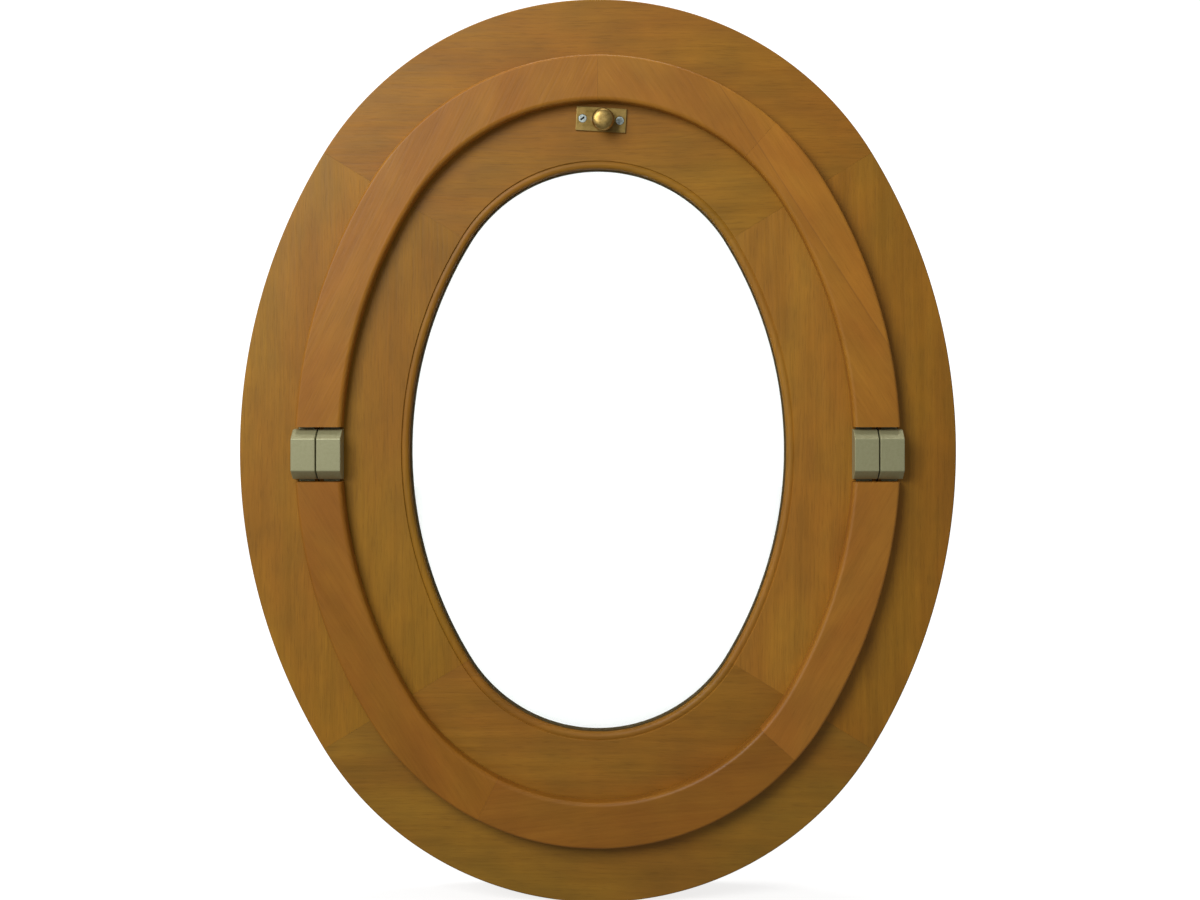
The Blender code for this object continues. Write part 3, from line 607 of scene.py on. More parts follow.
def piece(
    name: str, bm: Mesh, body: Body, look: Look, node: str, cuts: Sequence[Mesh] = (), joined: Sequence[Mesh] = ()
) -> bpy.types.Object:
    """Makes a finished piece.

    Args:
        name: The piece's name.
        bm: Its mesh, which is used up.
        body: The body that it rides on.
        look: Its slot and its material; only the material is put on the piece.
        node: The CAD node that it stands for.
        cuts: What is cut out of it.
        joined: What is joined to it first.

    Returns:
        The piece's object.
    """
    made = mesh_object(name, bm)
    for shapes, operation in ((joined, "UNION"), (cuts, "DIFFERENCE")):
        if shapes:
            carve(made, shapes, operation)
    mesh = made.data
    mesh.materials.clear()
    mesh.materials.append(look.material)
    mesh.shade_smooth()
    mesh.set_sharp_from_angle(angle=SMOOTH_ANGLE)
    even = made.modifiers.new("EvenNormals", "WEIGHTED_NORMAL")
    even.keep_sharp = True
    even.weight = 100
    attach(made, body.value)
    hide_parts(node)
    log.info("%s: %d faces, on %s", made.name, len(mesh.polygons), body.value)
    return made


# The oval


@dataclass(frozen=True)
class Arc:
    """One arc of the oval's outer edge, between two angles of its normal."""

    centre: Vector
    radius: float
    start: float
    end: float


@dataclass(frozen=True)
class Oval:
    """The four-centre outline that every ring follows."""

    half_width: float
    half_height: float
    face_y: float
    end_roundness: float = 0.8975
    step: float = 1.0
    joint_gap: float = 0.00008

    @property
    def end_radius(self) -> float:
        """Radius of the top and bottom arcs."""
        return self.end_roundness * self.half_width

    @property
    def end_centre(self) -> float:
        """Height of the top arc's centre."""
        return self.half_height - self.end_radius

    @property
    def side_radius(self) -> float:
        """Radius of the side arcs."""
        spread = self.half_width**2 + self.end_centre**2 - self.end_radius**2
        return spread / (2 * (self.half_width - self.end_radius))

    @property
    def turn(self) -> float:
        """The normal's angle where a side arc meets an end arc, in degrees."""
        return math.degrees(math.atan2(self.end_centre, self.side_radius - self.half_width))

    def arc(self, angle: float) -> Arc:
        """The arc that holds an angle of the normal.

        Args:
            angle: The angle, in degrees.

        Returns:
            The arc, with its own start and end angles round that one.
        """
        side, turn = self.side_radius - self.half_width, self.turn
        lap = 360 * math.floor((angle + turn) / 360)
        within = angle - lap
        if within < turn:
            return Arc(Vector((-side, 0, 0)), self.side_radius, lap - turn, lap + turn)
        if within < 180 - turn:
            return Arc(Vector((0, 0, self.end_centre)), self.end_radius, lap + turn, lap + 180 - turn)
        if within < 180 + turn:
            return Arc(Vector((side, 0, 0)), self.side_radius, lap + 180 - turn, lap + 180 + turn)
        return Arc(Vector((0, 0, -self.end_centre)), self.end_radius, lap + 180 + turn, lap + 360 - turn)

    def place(self, angle: float, offset: float, depth: float) -> Vector:
        """A point in the model's frame.

        Args:
            angle: Its normal's angle, in degrees.
            offset: How far it is in from the outer edge.
            depth: How far it is behind the room face.

        Returns:
            The point.
        """
        arc, turned_by = self.arc(angle), math.radians(angle)
        out = Vector((math.cos(turned_by), 0, math.sin(turned_by)))
        return arc.centre + (arc.radius - offset) * out + Vector((0, self.face_y + depth, 0))

    def sweep(self, corners: Sequence[Corner], start: float, end: float, closed: bool = True) -> Mesh:
        """Carries a section round every whole arc between two angles.

        Args:
            corners: Each corner's offset, depth and rounding.
            start: An angle on the first arc.
            end: An angle on the last arc.
            closed: Whether the section is a closed loop.

        Returns:
            The swept mesh, open at its ends unless it is a whole ring.
        """
        bm = bmesh.new()
        angle = self.arc(start).start
        points = [self.place(angle, offset, depth) for offset, depth, _ in corners]
        geom = outline(bm, points, corners, closed, RING_FACETS)
        while angle < end - NEAR:
            arc = self.arc(angle + NEAR)
            swept = arc.end - arc.start
            how = {"axis": (0, -1, 0), "angle": math.radians(swept), "steps": round(swept / self.step)}
            geom = bmesh.ops.spin(bm, geom=geom, cent=arc.centre, **how)["geom_last"]
            angle = arc.end
        bmesh.ops.remove_doubles(bm, verts=bm.verts, dist=NEAR)
        return bm

    def ring(self, corners: Sequence[Corner], closed: bool = True) -> Mesh:
        """A whole ring of one section."""
        return self.sweep(corners, 0.0, 360 - self.turn, closed)

    def plate(self, offset: float, front: float, back: float, chamfer: float) -> Mesh:
        """A flat plate with the oval's outline, between two depths, its edge chamfered on both sides."""
        edge = ((offset, front + chamfer, 0), (offset, back - chamfer, 0))
        return close_ends(self.ring(((offset + chamfer, front, 0), *edge, (offset + chamfer, back, 0)), False))

    def cut_at(self, bm: Mesh, angle: float, side: int) -> None:
        """Cuts a swept mesh off at a radial joint.

        Args:
            bm: The mesh.
            angle: The joint's angle.
            side: 1 to keep what lies beyond the joint, -1 to keep what lies before it.
        """
        turned_by = math.radians(angle)
        keep = side * Vector((-math.sin(turned_by), 0, math.cos(turned_by)))
        cut_away(bm, self.arc(angle).centre + self.joint_gap / 2 * keep, keep)

    def segment(self, corners: Sequence[Corner], start: float, end: float) -> Mesh:
        """A length of ring between two radial joints."""
        bm = self.sweep(corners, start, end)
        self.cut_at(bm, start, 1)
        self.cut_at(bm, end, -1)
        return close_ends(bm)

    def limb(self, corners: Sequence[Corner], start: float, end: float, joint: float | None, end_z: float) -> Mesh:
        """A length of ring with a level end above or below the middle.

        Args:
            corners: The section's corners.
            start: An angle on the first arc.
            end: An angle on the last arc.
            joint: The angle of the radial joint at its other end, or None for a level end there too.
            end_z: The level end's height.

        Returns:
            The closed mesh.
        """
        bm = self.sweep(corners, start, end)
        if joint is not None:
            self.cut_at(bm, joint, 1 if joint == start else -1)
        cut_away(bm, Vector((0, 0, end_z)), Vector((0, 0, math.copysign(1, end_z))))
        return close_ends(bm)

    def quarters(self, section: Sequence[Corner]) -> dict[str, Mesh]:
        """The four segments of a ring of one section, by name."""
        names = ("top", "left", "bottom", "right")
        joints = (self.turn, 180 - self.turn, 180 + self.turn, 360 - self.turn, 360 + self.turn)
        return {name: self.segment(section, *ends) for name, *ends in zip(names, joints, joints[1:])}


def groove(outer: float, back: float, side: int) -> tuple[Corner, ...]:
    """The groove of a seal: the four corners from its outer side in.

    Args:
        outer: Offset of the seal's outer side.
        back: Depth of the face that the groove opens in.
        side: 1 if the groove goes towards the outside, -1 if towards the room.

    Returns:
        The groove's corners.
    """
    near, far = outer - GAP, outer + SEAL_WIDTH + GAP
    foot = back + side * (SEAL_FOOT + GAP)
    return ((near, back, 0), (near, foot, 0), (far, foot, 0), (far, back, 0))


def seal_section(outer: float, front: float, side: int) -> tuple[Corner, ...]:
    """A brush-backed seal's section: a foot in its groove and two rounded lips.

    Args:
        outer: Offset of its outer side.
        front: Depth of its open face.
        side: 1 if its foot lies behind that face, -1 if it lies in front.

    Returns:
        The section's corners.
    """
    foot, middle, inner = front + side * SEAL_FOOT, outer + SEAL_WIDTH / 2, outer + SEAL_WIDTH
    return (
        (outer, front, 0.0005),
        (outer, foot, 0.0004),
        (inner, foot, 0.0004),
        (inner, front, 0.0005),
        (middle + 0.0005, front, 0.0002),
        (middle, front + side * 0.0012, 0.0002),
        (middle - 0.0005, front, 0.0002),
    )


# Timber


@dataclass
class TimberRings:
    """The fixed frame ring, the sash ring and the outer stop."""

    oval: Oval
    frame_width: float = 0.0647
    frame_depth: float = 0.060
    frame_arris: float = 0.0012
    sash_clearance: float = 0.0015
    sash_width: float = 0.0748
    sash_thickness: float = 0.044
    sash_land: float = 0.020
    sash_taper: float = 0.0035
    moulding_width: float = 0.0066
    moulding_drop: float = 0.004
    rebate_lip: float = 0.014
    rebate_depth: float = 0.0308
    stop_width: float = 0.017
    stop_chamfer: float = 0.003
    stop_clearance: float = 0.0009
    stop_seal_in: float = 0.0070
    stop_end_z: float = 0.055
    stop_tone: Colour = (0.8, 0.8, 0.8)

    @property
    def rim(self) -> float:
        """Offset of the sash's outer rim."""
        return self.frame_width + self.sash_clearance

    @property
    def opening(self) -> float:
        """Offset of the light."""
        return self.rim + self.sash_width

    @property
    def rebate(self) -> float:
        """Offset of the glazing rebate's outer side."""
        return self.opening - self.rebate_lip

    @property
    def rebate_face(self) -> float:
        """Depth of the lip's back."""
        return self.sash_thickness - self.rebate_depth

    def frame_section(self) -> tuple[Corner, ...]:
        """The frame ring's section."""
        arris, depth, inner = self.frame_arris, self.frame_depth, self.frame_width
        return ((0, 0, arris), (0, depth, arris), (inner, depth, 0.0006), (inner, 0, 0.0006))

    def sash_section(self) -> tuple[Corner, ...]:
        """The sash ring's section, with its quirk and bead round the light and its glazing rebate."""
        width, drop = self.moulding_width, self.moulding_drop
        quirk = self.opening - width
        return (
            (self.rim, 0, 0.0006),
            (self.rim, self.sash_land, 0.0004),
            (self.rim + self.sash_taper, self.sash_thickness, 0.0008),
            (self.rebate, self.sash_thickness, 0.0006),
            (self.rebate, self.rebate_face, 0),
            (self.opening, self.rebate_face, 0.0005),
            (self.opening, drop, 0.0008),
            (self.opening - 0.20 * width, 0.35 * drop, 0.0007),
            (self.opening - 0.55 * width, 0.12 * drop, 0.0009),
            (quirk + 0.16 * width, 0.24 * drop, 0.0005),
            (quirk + 0.03 * width, 0.34 * drop, 0.0003),
            (quirk - 0.04 * width, 0, 0.0004),
        )

    def build_ring(self, body: Body, section: Sequence[Corner], cuts: dict[str, list], tones: dict) -> None:
        """Builds a ring in four segments.

        Args:
            body: The body that it rides on, whose name its CAD nodes share.
            section: Its section.
            cuts: What is cut out of each segment.
            tones: The grain's angle, the pattern's shift and the tint of each segment; each tint holds painted
                light and shade as well as the wood's own tone.
        """
        for side, bm in self.oval.quarters(section).items():
            node = f"{body.value}_{side}"
            piece(f"{node}_timber", bm, body, OAK.dress(f"oak_{node}", *tones[side]), node, cuts.get(side, ()))

    def build_stop(self) -> None:
        """Builds the outer stop in two lengths, and its seal."""
        front, back = self.sash_thickness + self.stop_clearance, self.frame_depth
        outer = self.frame_width + GAP
        inner, seal = outer + self.stop_width, outer + self.stop_seal_in
        section = (
            (outer, front, 0),
            (outer, back, 0.0004),
            (inner - self.stop_chamfer, back, 0.0006),
            (inner, back - self.stop_chamfer, 0.0006),
            (inner, front, 0.0004),
            *reversed(groove(seal, front, 1)),
        )
        for side, start, grain, shift in (("left", 90.0, 60.0, 61.0), ("right", 0.0, -60.0, 67.0)):
            bm = self.oval.limb(section, start, start + 90.0, 90.0, self.stop_end_z)
            look = OAK.dress(f"oak_stop_{side}", grain, shift, self.stop_tone)
            piece(f"outer_stop_{side}_timber", bm, Body.FRAME, look, f"outer_stop_{side}")
        bm = self.oval.limb(seal_section(seal, front, 1), 0.0, 180.0, None, self.stop_end_z + SEAL_SHORT)
        piece("outer_stop_seal_strip", bm, Body.FRAME, RUBBER.dress("rubber_stop_seal"), "outer_stop_seal")


@dataclass
class CoverBands:
    """The raised band over the joint of frame and sash: its upper half turns with the sash."""

    oval: Oval
    outer: float = 0.0480
    width: float = 0.0382
    proud: float = 0.0137
    outer_rounding: float = 0.0024
    inner_rounding: float = 0.0038
    end: float = 0.022621
    upper_joints: Span = (90.0, 48.0)
    lower_joints: Span = (243.0, 318.0)
    upper_seal_in: float = 0.0040
    lower_seal_in: float = 0.0260
    glue_line: float = 0.248
    glue_tint: Colour = (1.07, 1.06, 1.04)

    def build_half(self, prefix: str, body: Body, seal_in: float, lengths: Sequence[tuple], end_z: float) -> None:
        """Builds one half of the band and its seal.

        Args:
            prefix: "upper" or "lower".
            body: The body that it rides on.
            seal_in: How far its seal is in from the band's outer edge.
            lengths: Each length's name, angles, joint or None, grain, shift, tint and glue line; the tint holds
                painted light and shade as well as the wood's own tone.
            end_z: The height of its level ends.
        """
        back, front, inner = -GAP, -GAP - self.proud, self.outer + self.width
        section = (
            (self.outer, back, 0.0003),
            *groove(self.outer + seal_in, back, -1),
            (inner, back, 0.0003),
            (inner, front, self.inner_rounding),
            (self.outer, front, self.outer_rounding),
        )
        for name, start, end, joint, *timber in lengths:
            if joint is None:
                bm = self.oval.segment(section, start, end)
            else:
                bm = self.oval.limb(section, start, end, joint, end_z)
            look = CHESTNUT.dress(f"chestnut_{prefix}_{name}", *timber)
            piece(f"{prefix}_band_{name}_timber", bm, body, look, f"{prefix}_band_{name}")
        start = 0.0 if end_z > 0 else 180.0
        seal = seal_section(self.outer + seal_in, back, -1)
        bm = self.oval.limb(seal, start, start + 180.0, None, end_z + math.copysign(SEAL_SHORT, end_z))
        piece(f"{prefix}_seal_strip", bm, body, RUBBER.dress(f"rubber_{prefix}_seal"), f"{prefix}_seal")

    def build(self) -> None:
        """Builds both halves."""
        crown, shoulder = self.upper_joints
        glue = (self.glue_line, self.glue_tint)
        # the tints hold painted light and shade as well as the wood's own tone, matched region by region
        upper = (
            ("left", crown, 180.0, crown, 64.0, 3.1, (1.06, 0.98, 0.54)),
            ("crown", shoulder, crown, None, -57.0, 7.7, (1.08, 1.03, 0.60), glue),
            ("right", 0.0, shoulder, shoulder, -57.0, 7.7, (1.14, 1.08, 0.63), glue),
        )
        self.build_half("upper", Body.SASH, self.upper_seal_in, upper, PIVOT_Z + self.end)
        left, right = self.lower_joints
        # the lower lengths' tints are darker partly as painted shade, partly as the wood's own tone
        lower = (
            ("left", 180.0, left, left, -58.0, 17.3, (0.90, 0.81, 0.38)),
            ("foot", left, right, None, 6.0, 23.9, (0.85, 0.77, 0.41)),
            ("right", right, 360.0, right, 60.0, 29.3, (1.07, 0.99, 0.66)),
        )
        self.build_half("lower", Body.FRAME, self.lower_seal_in, lower, PIVOT_Z - self.end)


@dataclass
class Glazing:
    """The sealed unit from the room outwards, and the beads that hold it."""

    oval: Oval
    rings: TimberRings
    pane: float = 0.004
    pane_arris: float = 0.0004
    clearance: float = 0.002
    cavity: float = 0.012
    spacer_width: float = 0.0065
    gasket: float = 0.0015
    gasket_width: float = 0.0095
    gasket_leg: float = 0.0005
    leg_front: float = 0.0055
    bead_set_back: float = 0.004
    bead_chamfer: float = 0.005
    bead_tone: Colour = (0.9, 0.88, 0.85)

    def build_gasket(self, side: str, front: float, lined: bool) -> None:
        """Builds a gasket.

        Args:
            side: "inner" or "outer".
            front: Its front's depth.
            lined: Whether it has a leg that lines the light.
        """
        outer, back = self.rings.rebate + 2 * GAP, front + self.gasket
        if lined:
            lip = self.rings.opening + GAP
            leg = lip + self.gasket_leg
            inner = ((leg, back, 0.0004), (leg, self.leg_front, 0.0002), (lip, self.leg_front, 0), (lip, front, 0))
        else:
            inner = ((outer + self.gasket_width, back, 0.0005), (outer + self.gasket_width, front, 0.0005))
        bm = self.oval.ring(((outer, front, 0), (outer, back, 0), *inner))
        piece(f"{side}_gasket_strip", bm, Body.SASH, GASKET.dress(f"rubber_{side}_gasket"), f"{side}_gasket")

    def build_pane(self, side: str, edge: float, front: float, look: Look) -> None:
        """Builds a pane.

        Args:
            side: "inner" or "outer".
            edge: Offset of its edge.
            front: Its front's depth.
            look: Its slot and its material.
        """
        bm = self.oval.plate(edge, front, front + self.pane, self.pane_arris)
        piece(f"{side}_pane_glass", bm, Body.SASH, look, f"{side}_pane")

    def build_spacer(self, edge: float, front: float) -> None:
        """Builds the bar between the panes.

        Args:
            edge: Offset of its outer side.
            front: Its front's depth.
        """
        back, inner = front + self.cavity - 2 * GAP, edge + self.spacer_width
        middle = (front + back) / 2
        section = (
            (edge + 0.001, front, 0),
            (edge, front + 0.0015, 0.0003),
            (edge, back - 0.0015, 0.0003),
            (edge + 0.001, back, 0),
            (inner, back, 0.0006),
            (inner, middle + 0.0004, 0.0001),
            (inner - 0.0005, middle, 0.0001),
            (inner, middle - 0.0004, 0.0001),
            (inner, front, 0.0006),
        )
        look = ALUMINIUM.dress("mill_aluminium")
        piece("spacer_bar_profile", self.oval.ring(section), Body.SASH, look, "spacer_bar")

    def build(self) -> None:
        """Builds the unit and its beads."""
        edge = self.rings.rebate + self.clearance
        front = self.rings.rebate_face + GAP
        self.build_gasket("inner", front, True)
        front += self.gasket + GAP
        glass = GLASS.dress("float_glass")
        self.build_pane("inner", edge, front, glass)
        front += self.pane + GAP
        self.build_spacer(edge, front)
        front += self.cavity - GAP
        self.build_pane("outer", edge, front, glass)
        front += self.pane + GAP
        self.build_gasket("outer", front, False)
        self.build_beads(front + self.gasket + GAP)

    def build_beads(self, front: float) -> None:
        """Builds the four glazing beads.

        Args:
            front: Their front's depth.
        """
        back, chamfer = self.rings.sash_thickness, self.bead_chamfer
        outer, inner = self.rings.rebate + GAP, self.rings.opening - self.bead_set_back
        section = (
            (outer, front, 0),
            (outer, back, 0.0005),
            (inner - chamfer, back, 0.0008),
            (inner, back - chamfer, 0.0008),
            (inner, front, 0.0004),
        )
        grains = {"top": (0.0, 71.0), "left": (90.0, 73.0), "bottom": (0.0, 79.0), "right": (90.0, 83.0)}
        for side, bm in self.oval.quarters(section).items():
            look = OAK.dress(f"oak_bead_{side}", *grains[side], self.bead_tone)
            piece(f"glazing_bead_{side}_timber", bm, Body.SASH, look, f"glazing_bead_{side}")


# Metalwork


@dataclass(frozen=True)
class Screw:
    """A countersunk wood screw with a cross recess."""

    head: float
    shank: float
    length: float
    rim: float = 0.0004
    arm: float = 0.80
    arm_width: float = 0.27
    recess: float = 0.0018
    recess_shift: float = -0.0002

    def profile(self, grow: float = 0.0) -> tuple[Corner, ...]:
        """The profile, its head's top at height 0, with the clearance of the screw's hole if it is one."""
        head, shank, length = self.head + grow, self.shank + grow, self.length + grow
        return (
            (0, 4 * grow, 0),
            (head, 4 * grow, 0 if grow else 0.00012),
            (head, -self.rim, 0),
            (shank, -self.rim - head + shank, 0),
            (shank, -length + shank, 0),
            (0, -length, 0),
        )

    def hole(self, seat: Matrix) -> Mesh:
        """The shape that is cut for it."""
        return turned(self.profile(GAP), seat, 20)

    def build(self, name: str, seat: Matrix, body: Body, turn: float) -> None:
        """Builds the screw and its recess.

        Args:
            name: The CAD node that it stands for.
            seat: Where its head's top is, and which way it faces.
            body: The body that it rides on.
            turn: How far its recess is turned, in degrees.
        """
        arms = []
        spread = Matrix.Diagonal((2 * self.arm * self.head, 2 * self.arm_width * self.head, 1, 1))
        square = spread @ Matrix.Rotation(math.radians(45), 4, "Z")
        for quarter in (0, 90):
            bm = bmesh.new()
            bmesh.ops.create_cone(
                bm, cap_ends=True, segments=4, radius1=0.35, radius2=0.7071, depth=self.recess, matrix=square
            )
            sunk = Matrix.Translation((0, 0, self.recess_shift))
            bm.transform(seat @ Matrix.Rotation(math.radians(turn + quarter), 4, "Z") @ sunk)
            arms.append(bm)
        look = STEEL.dress(f"steel_{name}", turn, turn)
        piece(f"{name}_fine", turned(self.profile(), seat, 32), body, look, name, arms)


@dataclass
class Pivots:
    """The two pivots at mid-height, each half on the frame and half on the sash."""

    oval: Oval
    centre: float = 0.0662
    seam: float = 0.001
    half_width: float = 0.0200
    half_height: float = 0.0208
    proud: float = 0.018
    flat: float = 0.0132
    shoulder: float = 0.0085
    shoulder_in: float = 0.0003
    arris: float = 0.0007
    flange_half: float = 0.0368
    flange_depth: float = 0.0035
    flange_inset: float = 0.0035
    neck_in: float = 0.002
    boss_half: float = 0.012
    boss_depth: float = 0.012
    boss_run: float = 0.003
    screw_z: float = 0.0288
    axle: float = 0.004
    axle_reach: float = 0.016
    washer: float = 0.009
    washer_thickness: float = 0.0024
    screw: Screw = Screw(0.0034, 0.0016, 0.016)

    @property
    def axis(self) -> Matrix:
        """A matrix on the pivots' axis that faces along it."""
        return Matrix.Translation((0, self.oval.face_y, PIVOT_Z)) @ FACE_RIGHT

    def prism(self, corners: Sequence[Span], ends: Iterable[float]) -> Mesh:
        """Runs an outline along X.

        Args:
            corners: Its corners' depths and heights above the pivots' axis.
            ends: The two places along X.

        Returns:
            The closed mesh.
        """
        low, high = sorted(ends)
        bm = bmesh.new()
        y, z = self.oval.face_y, PIVOT_Z
        bm.faces.new([bm.verts.new((low, y + depth, z + height)) for depth, height in corners])
        run = bmesh.ops.extrude_face_region(bm, geom=bm.faces[:])
        moved = [item for item in run["geom"] if isinstance(item, bmesh.types.BMVert)]
        bmesh.ops.translate(bm, verts=moved, vec=(high - low, 0, 0))
        bmesh.ops.recalc_face_normals(bm, faces=bm.faces)
        return bm

    def across(self, side: int, *offsets: float) -> list[float]:
        """Places along X of some offsets from the outer edge, on one side."""
        return [side * (self.oval.half_width - offset) for offset in offsets]

    def about(self, side: int, half: float) -> list[float]:
        """The higher and the lower place along X, half a length from a pivot's centre."""
        return sorted(self.across(side, self.centre - half, self.centre + half), reverse=True)

    def ends(self, away: int) -> tuple[float, float, float, float]:
        """Offsets of a half's seam end, its far end and its flange's two ends.

        Args:
            away: 1 for the sash's half, -1 for the frame's.

        Returns:
            The four offsets.
        """
        seam = self.centre + away * self.seam / 2
        far = seam + away * self.half_width
        return seam, far, seam + away * self.flange_inset, far - away * self.flange_inset

    def flange(self, grow: float) -> tuple[Span, ...]:
        """Outline of the screw flange, or of its pocket with a clearance."""
        return oblong(GAP - 2 * grow, self.flange_depth + grow, self.flange_half + grow)

    def boss(self, grow: float) -> tuple[Span, ...]:
        """Outline of the boss round the axle, or of its pocket with a clearance."""
        return oblong(-LAP, self.boss_depth + grow, self.boss_half + grow)

    def seats(self, side: int, away: int) -> list[Matrix]:
        """Where the two flange screws of a half sit, the upper first."""
        middle = self.across(side, sum(self.ends(away)[2:]) / 2)[0]
        heights = (PIVOT_Z + self.screw_z, PIVOT_Z - self.screw_z)
        return [Matrix.Translation((middle, self.oval.face_y + 2 * GAP, z)) @ FACE_THE_ROOM for z in heights]

    def pockets(self, side: int, away: int) -> list[Mesh]:
        """What is cut out of the timber under a half.

        Args:
            side: -1 for the left pivot, 1 for the right.
            away: 1 for the sash's half, -1 for the frame's.

        Returns:
            The cutters: the flange's pocket, the boss's pocket and the screw holes.
        """
        seam, _, near, far = self.ends(away)
        flange = self.prism(self.flange(GAP), self.across(side, near - away * GAP, far + away * GAP))
        boss = self.prism(self.boss(GAP), self.across(side, seam - away * self.boss_run, far + away * GAP))
        return [flange, boss, *(self.screw.hole(seat) for seat in self.seats(side, away))]

    def bores(self, side: int) -> list[Mesh]:
        """The axle's bore and the washer's seat through both halves of one pivot."""
        sizes = ((self.axle, self.seam / 2 + self.axle_reach), (self.washer, self.washer_thickness / 2))
        return [turned(rod(radius + GAP, *self.about(side, half + GAP)), self.axis, 32) for radius, half in sizes]

    def build_half(self, name: str, side: int, away: int) -> None:
        """Builds one half of a pivot and its screws.

        Args:
            name: "left" or "right".
            side: -1 or 1.
            away: 1 for the sash's half, -1 for the frame's.
        """
        body = Body.SASH if away > 0 else Body.FRAME
        node = f"{name}_pivot_{body.value}_block"
        seam, far, near, flange_far = self.ends(away)
        half = self.half_height
        upper = ((-GAP, half), (-self.shoulder, half - self.shoulder_in), (-self.proud, self.flat))
        lower = tuple((depth, -height) for depth, height in reversed(upper))
        cast = soften(self.prism(upper + lower, self.across(side, seam, far)), self.arris, 3)
        inner = self.across(side, near, flange_far)
        neck = self.prism(oblong(-LAP, LAP, half - self.neck_in), inner)
        boss = self.prism(self.boss(0.0), self.across(side, seam, flange_far))
        seats = self.seats(side, away)
        cuts = [*self.bores(side), *(self.screw.hole(seat) for seat in seats)]
        look = ZINC.dress(f"zinc_{node}", 0.0, side + 0.3 * away)
        piece(f"{node}_cast", cast, body, look, node, cuts, [self.prism(self.flange(0.0), inner), neck, boss])
        for end, seat, turn in zip(("upper", "lower"), seats, (24.0 + 31 * away, 67.0 * side)):
            self.screw.build(f"{node}_screw_{end}", seat, body, turn)

    def build(self) -> None:
        """Builds both pivots."""
        for name, side in (("left", -1), ("right", 1)):
            self.build_half(name, side, -1)
            self.build_half(name, side, 1)
            pin = turned(rod(self.axle, *self.about(side, self.seam / 2 + self.axle_reach), 0.0006), self.axis, 40)
            look = STEEL.dress(f"steel_{name}_axle")
            piece(f"{name}_axle_pin", pin, Body.FRAME, look, f"{name}_pivot_axle")
            high, low = self.about(side, self.washer_thickness / 2)
            bore, rim = self.axle + GAP, self.washer
            ring = ((bore, high, 0.0002), (rim, high, 0.0004), (rim, low, 0.0004), (bore, low, 0.0002))
            disc = turned(ring, self.axis, 48, True)
            look = FIBRE.dress(f"fibre_{name}")
            piece(f"{name}_washer_disc", disc, Body.FRAME, look, f"{name}_friction_washer")


def oblong(front: float, back: float, half: float) -> tuple[Span, ...]:
    """The outline of a box about the pivots' axis: its corners' depths and heights."""
    return ((front, half), (front, -half), (back, -half), (back, half))


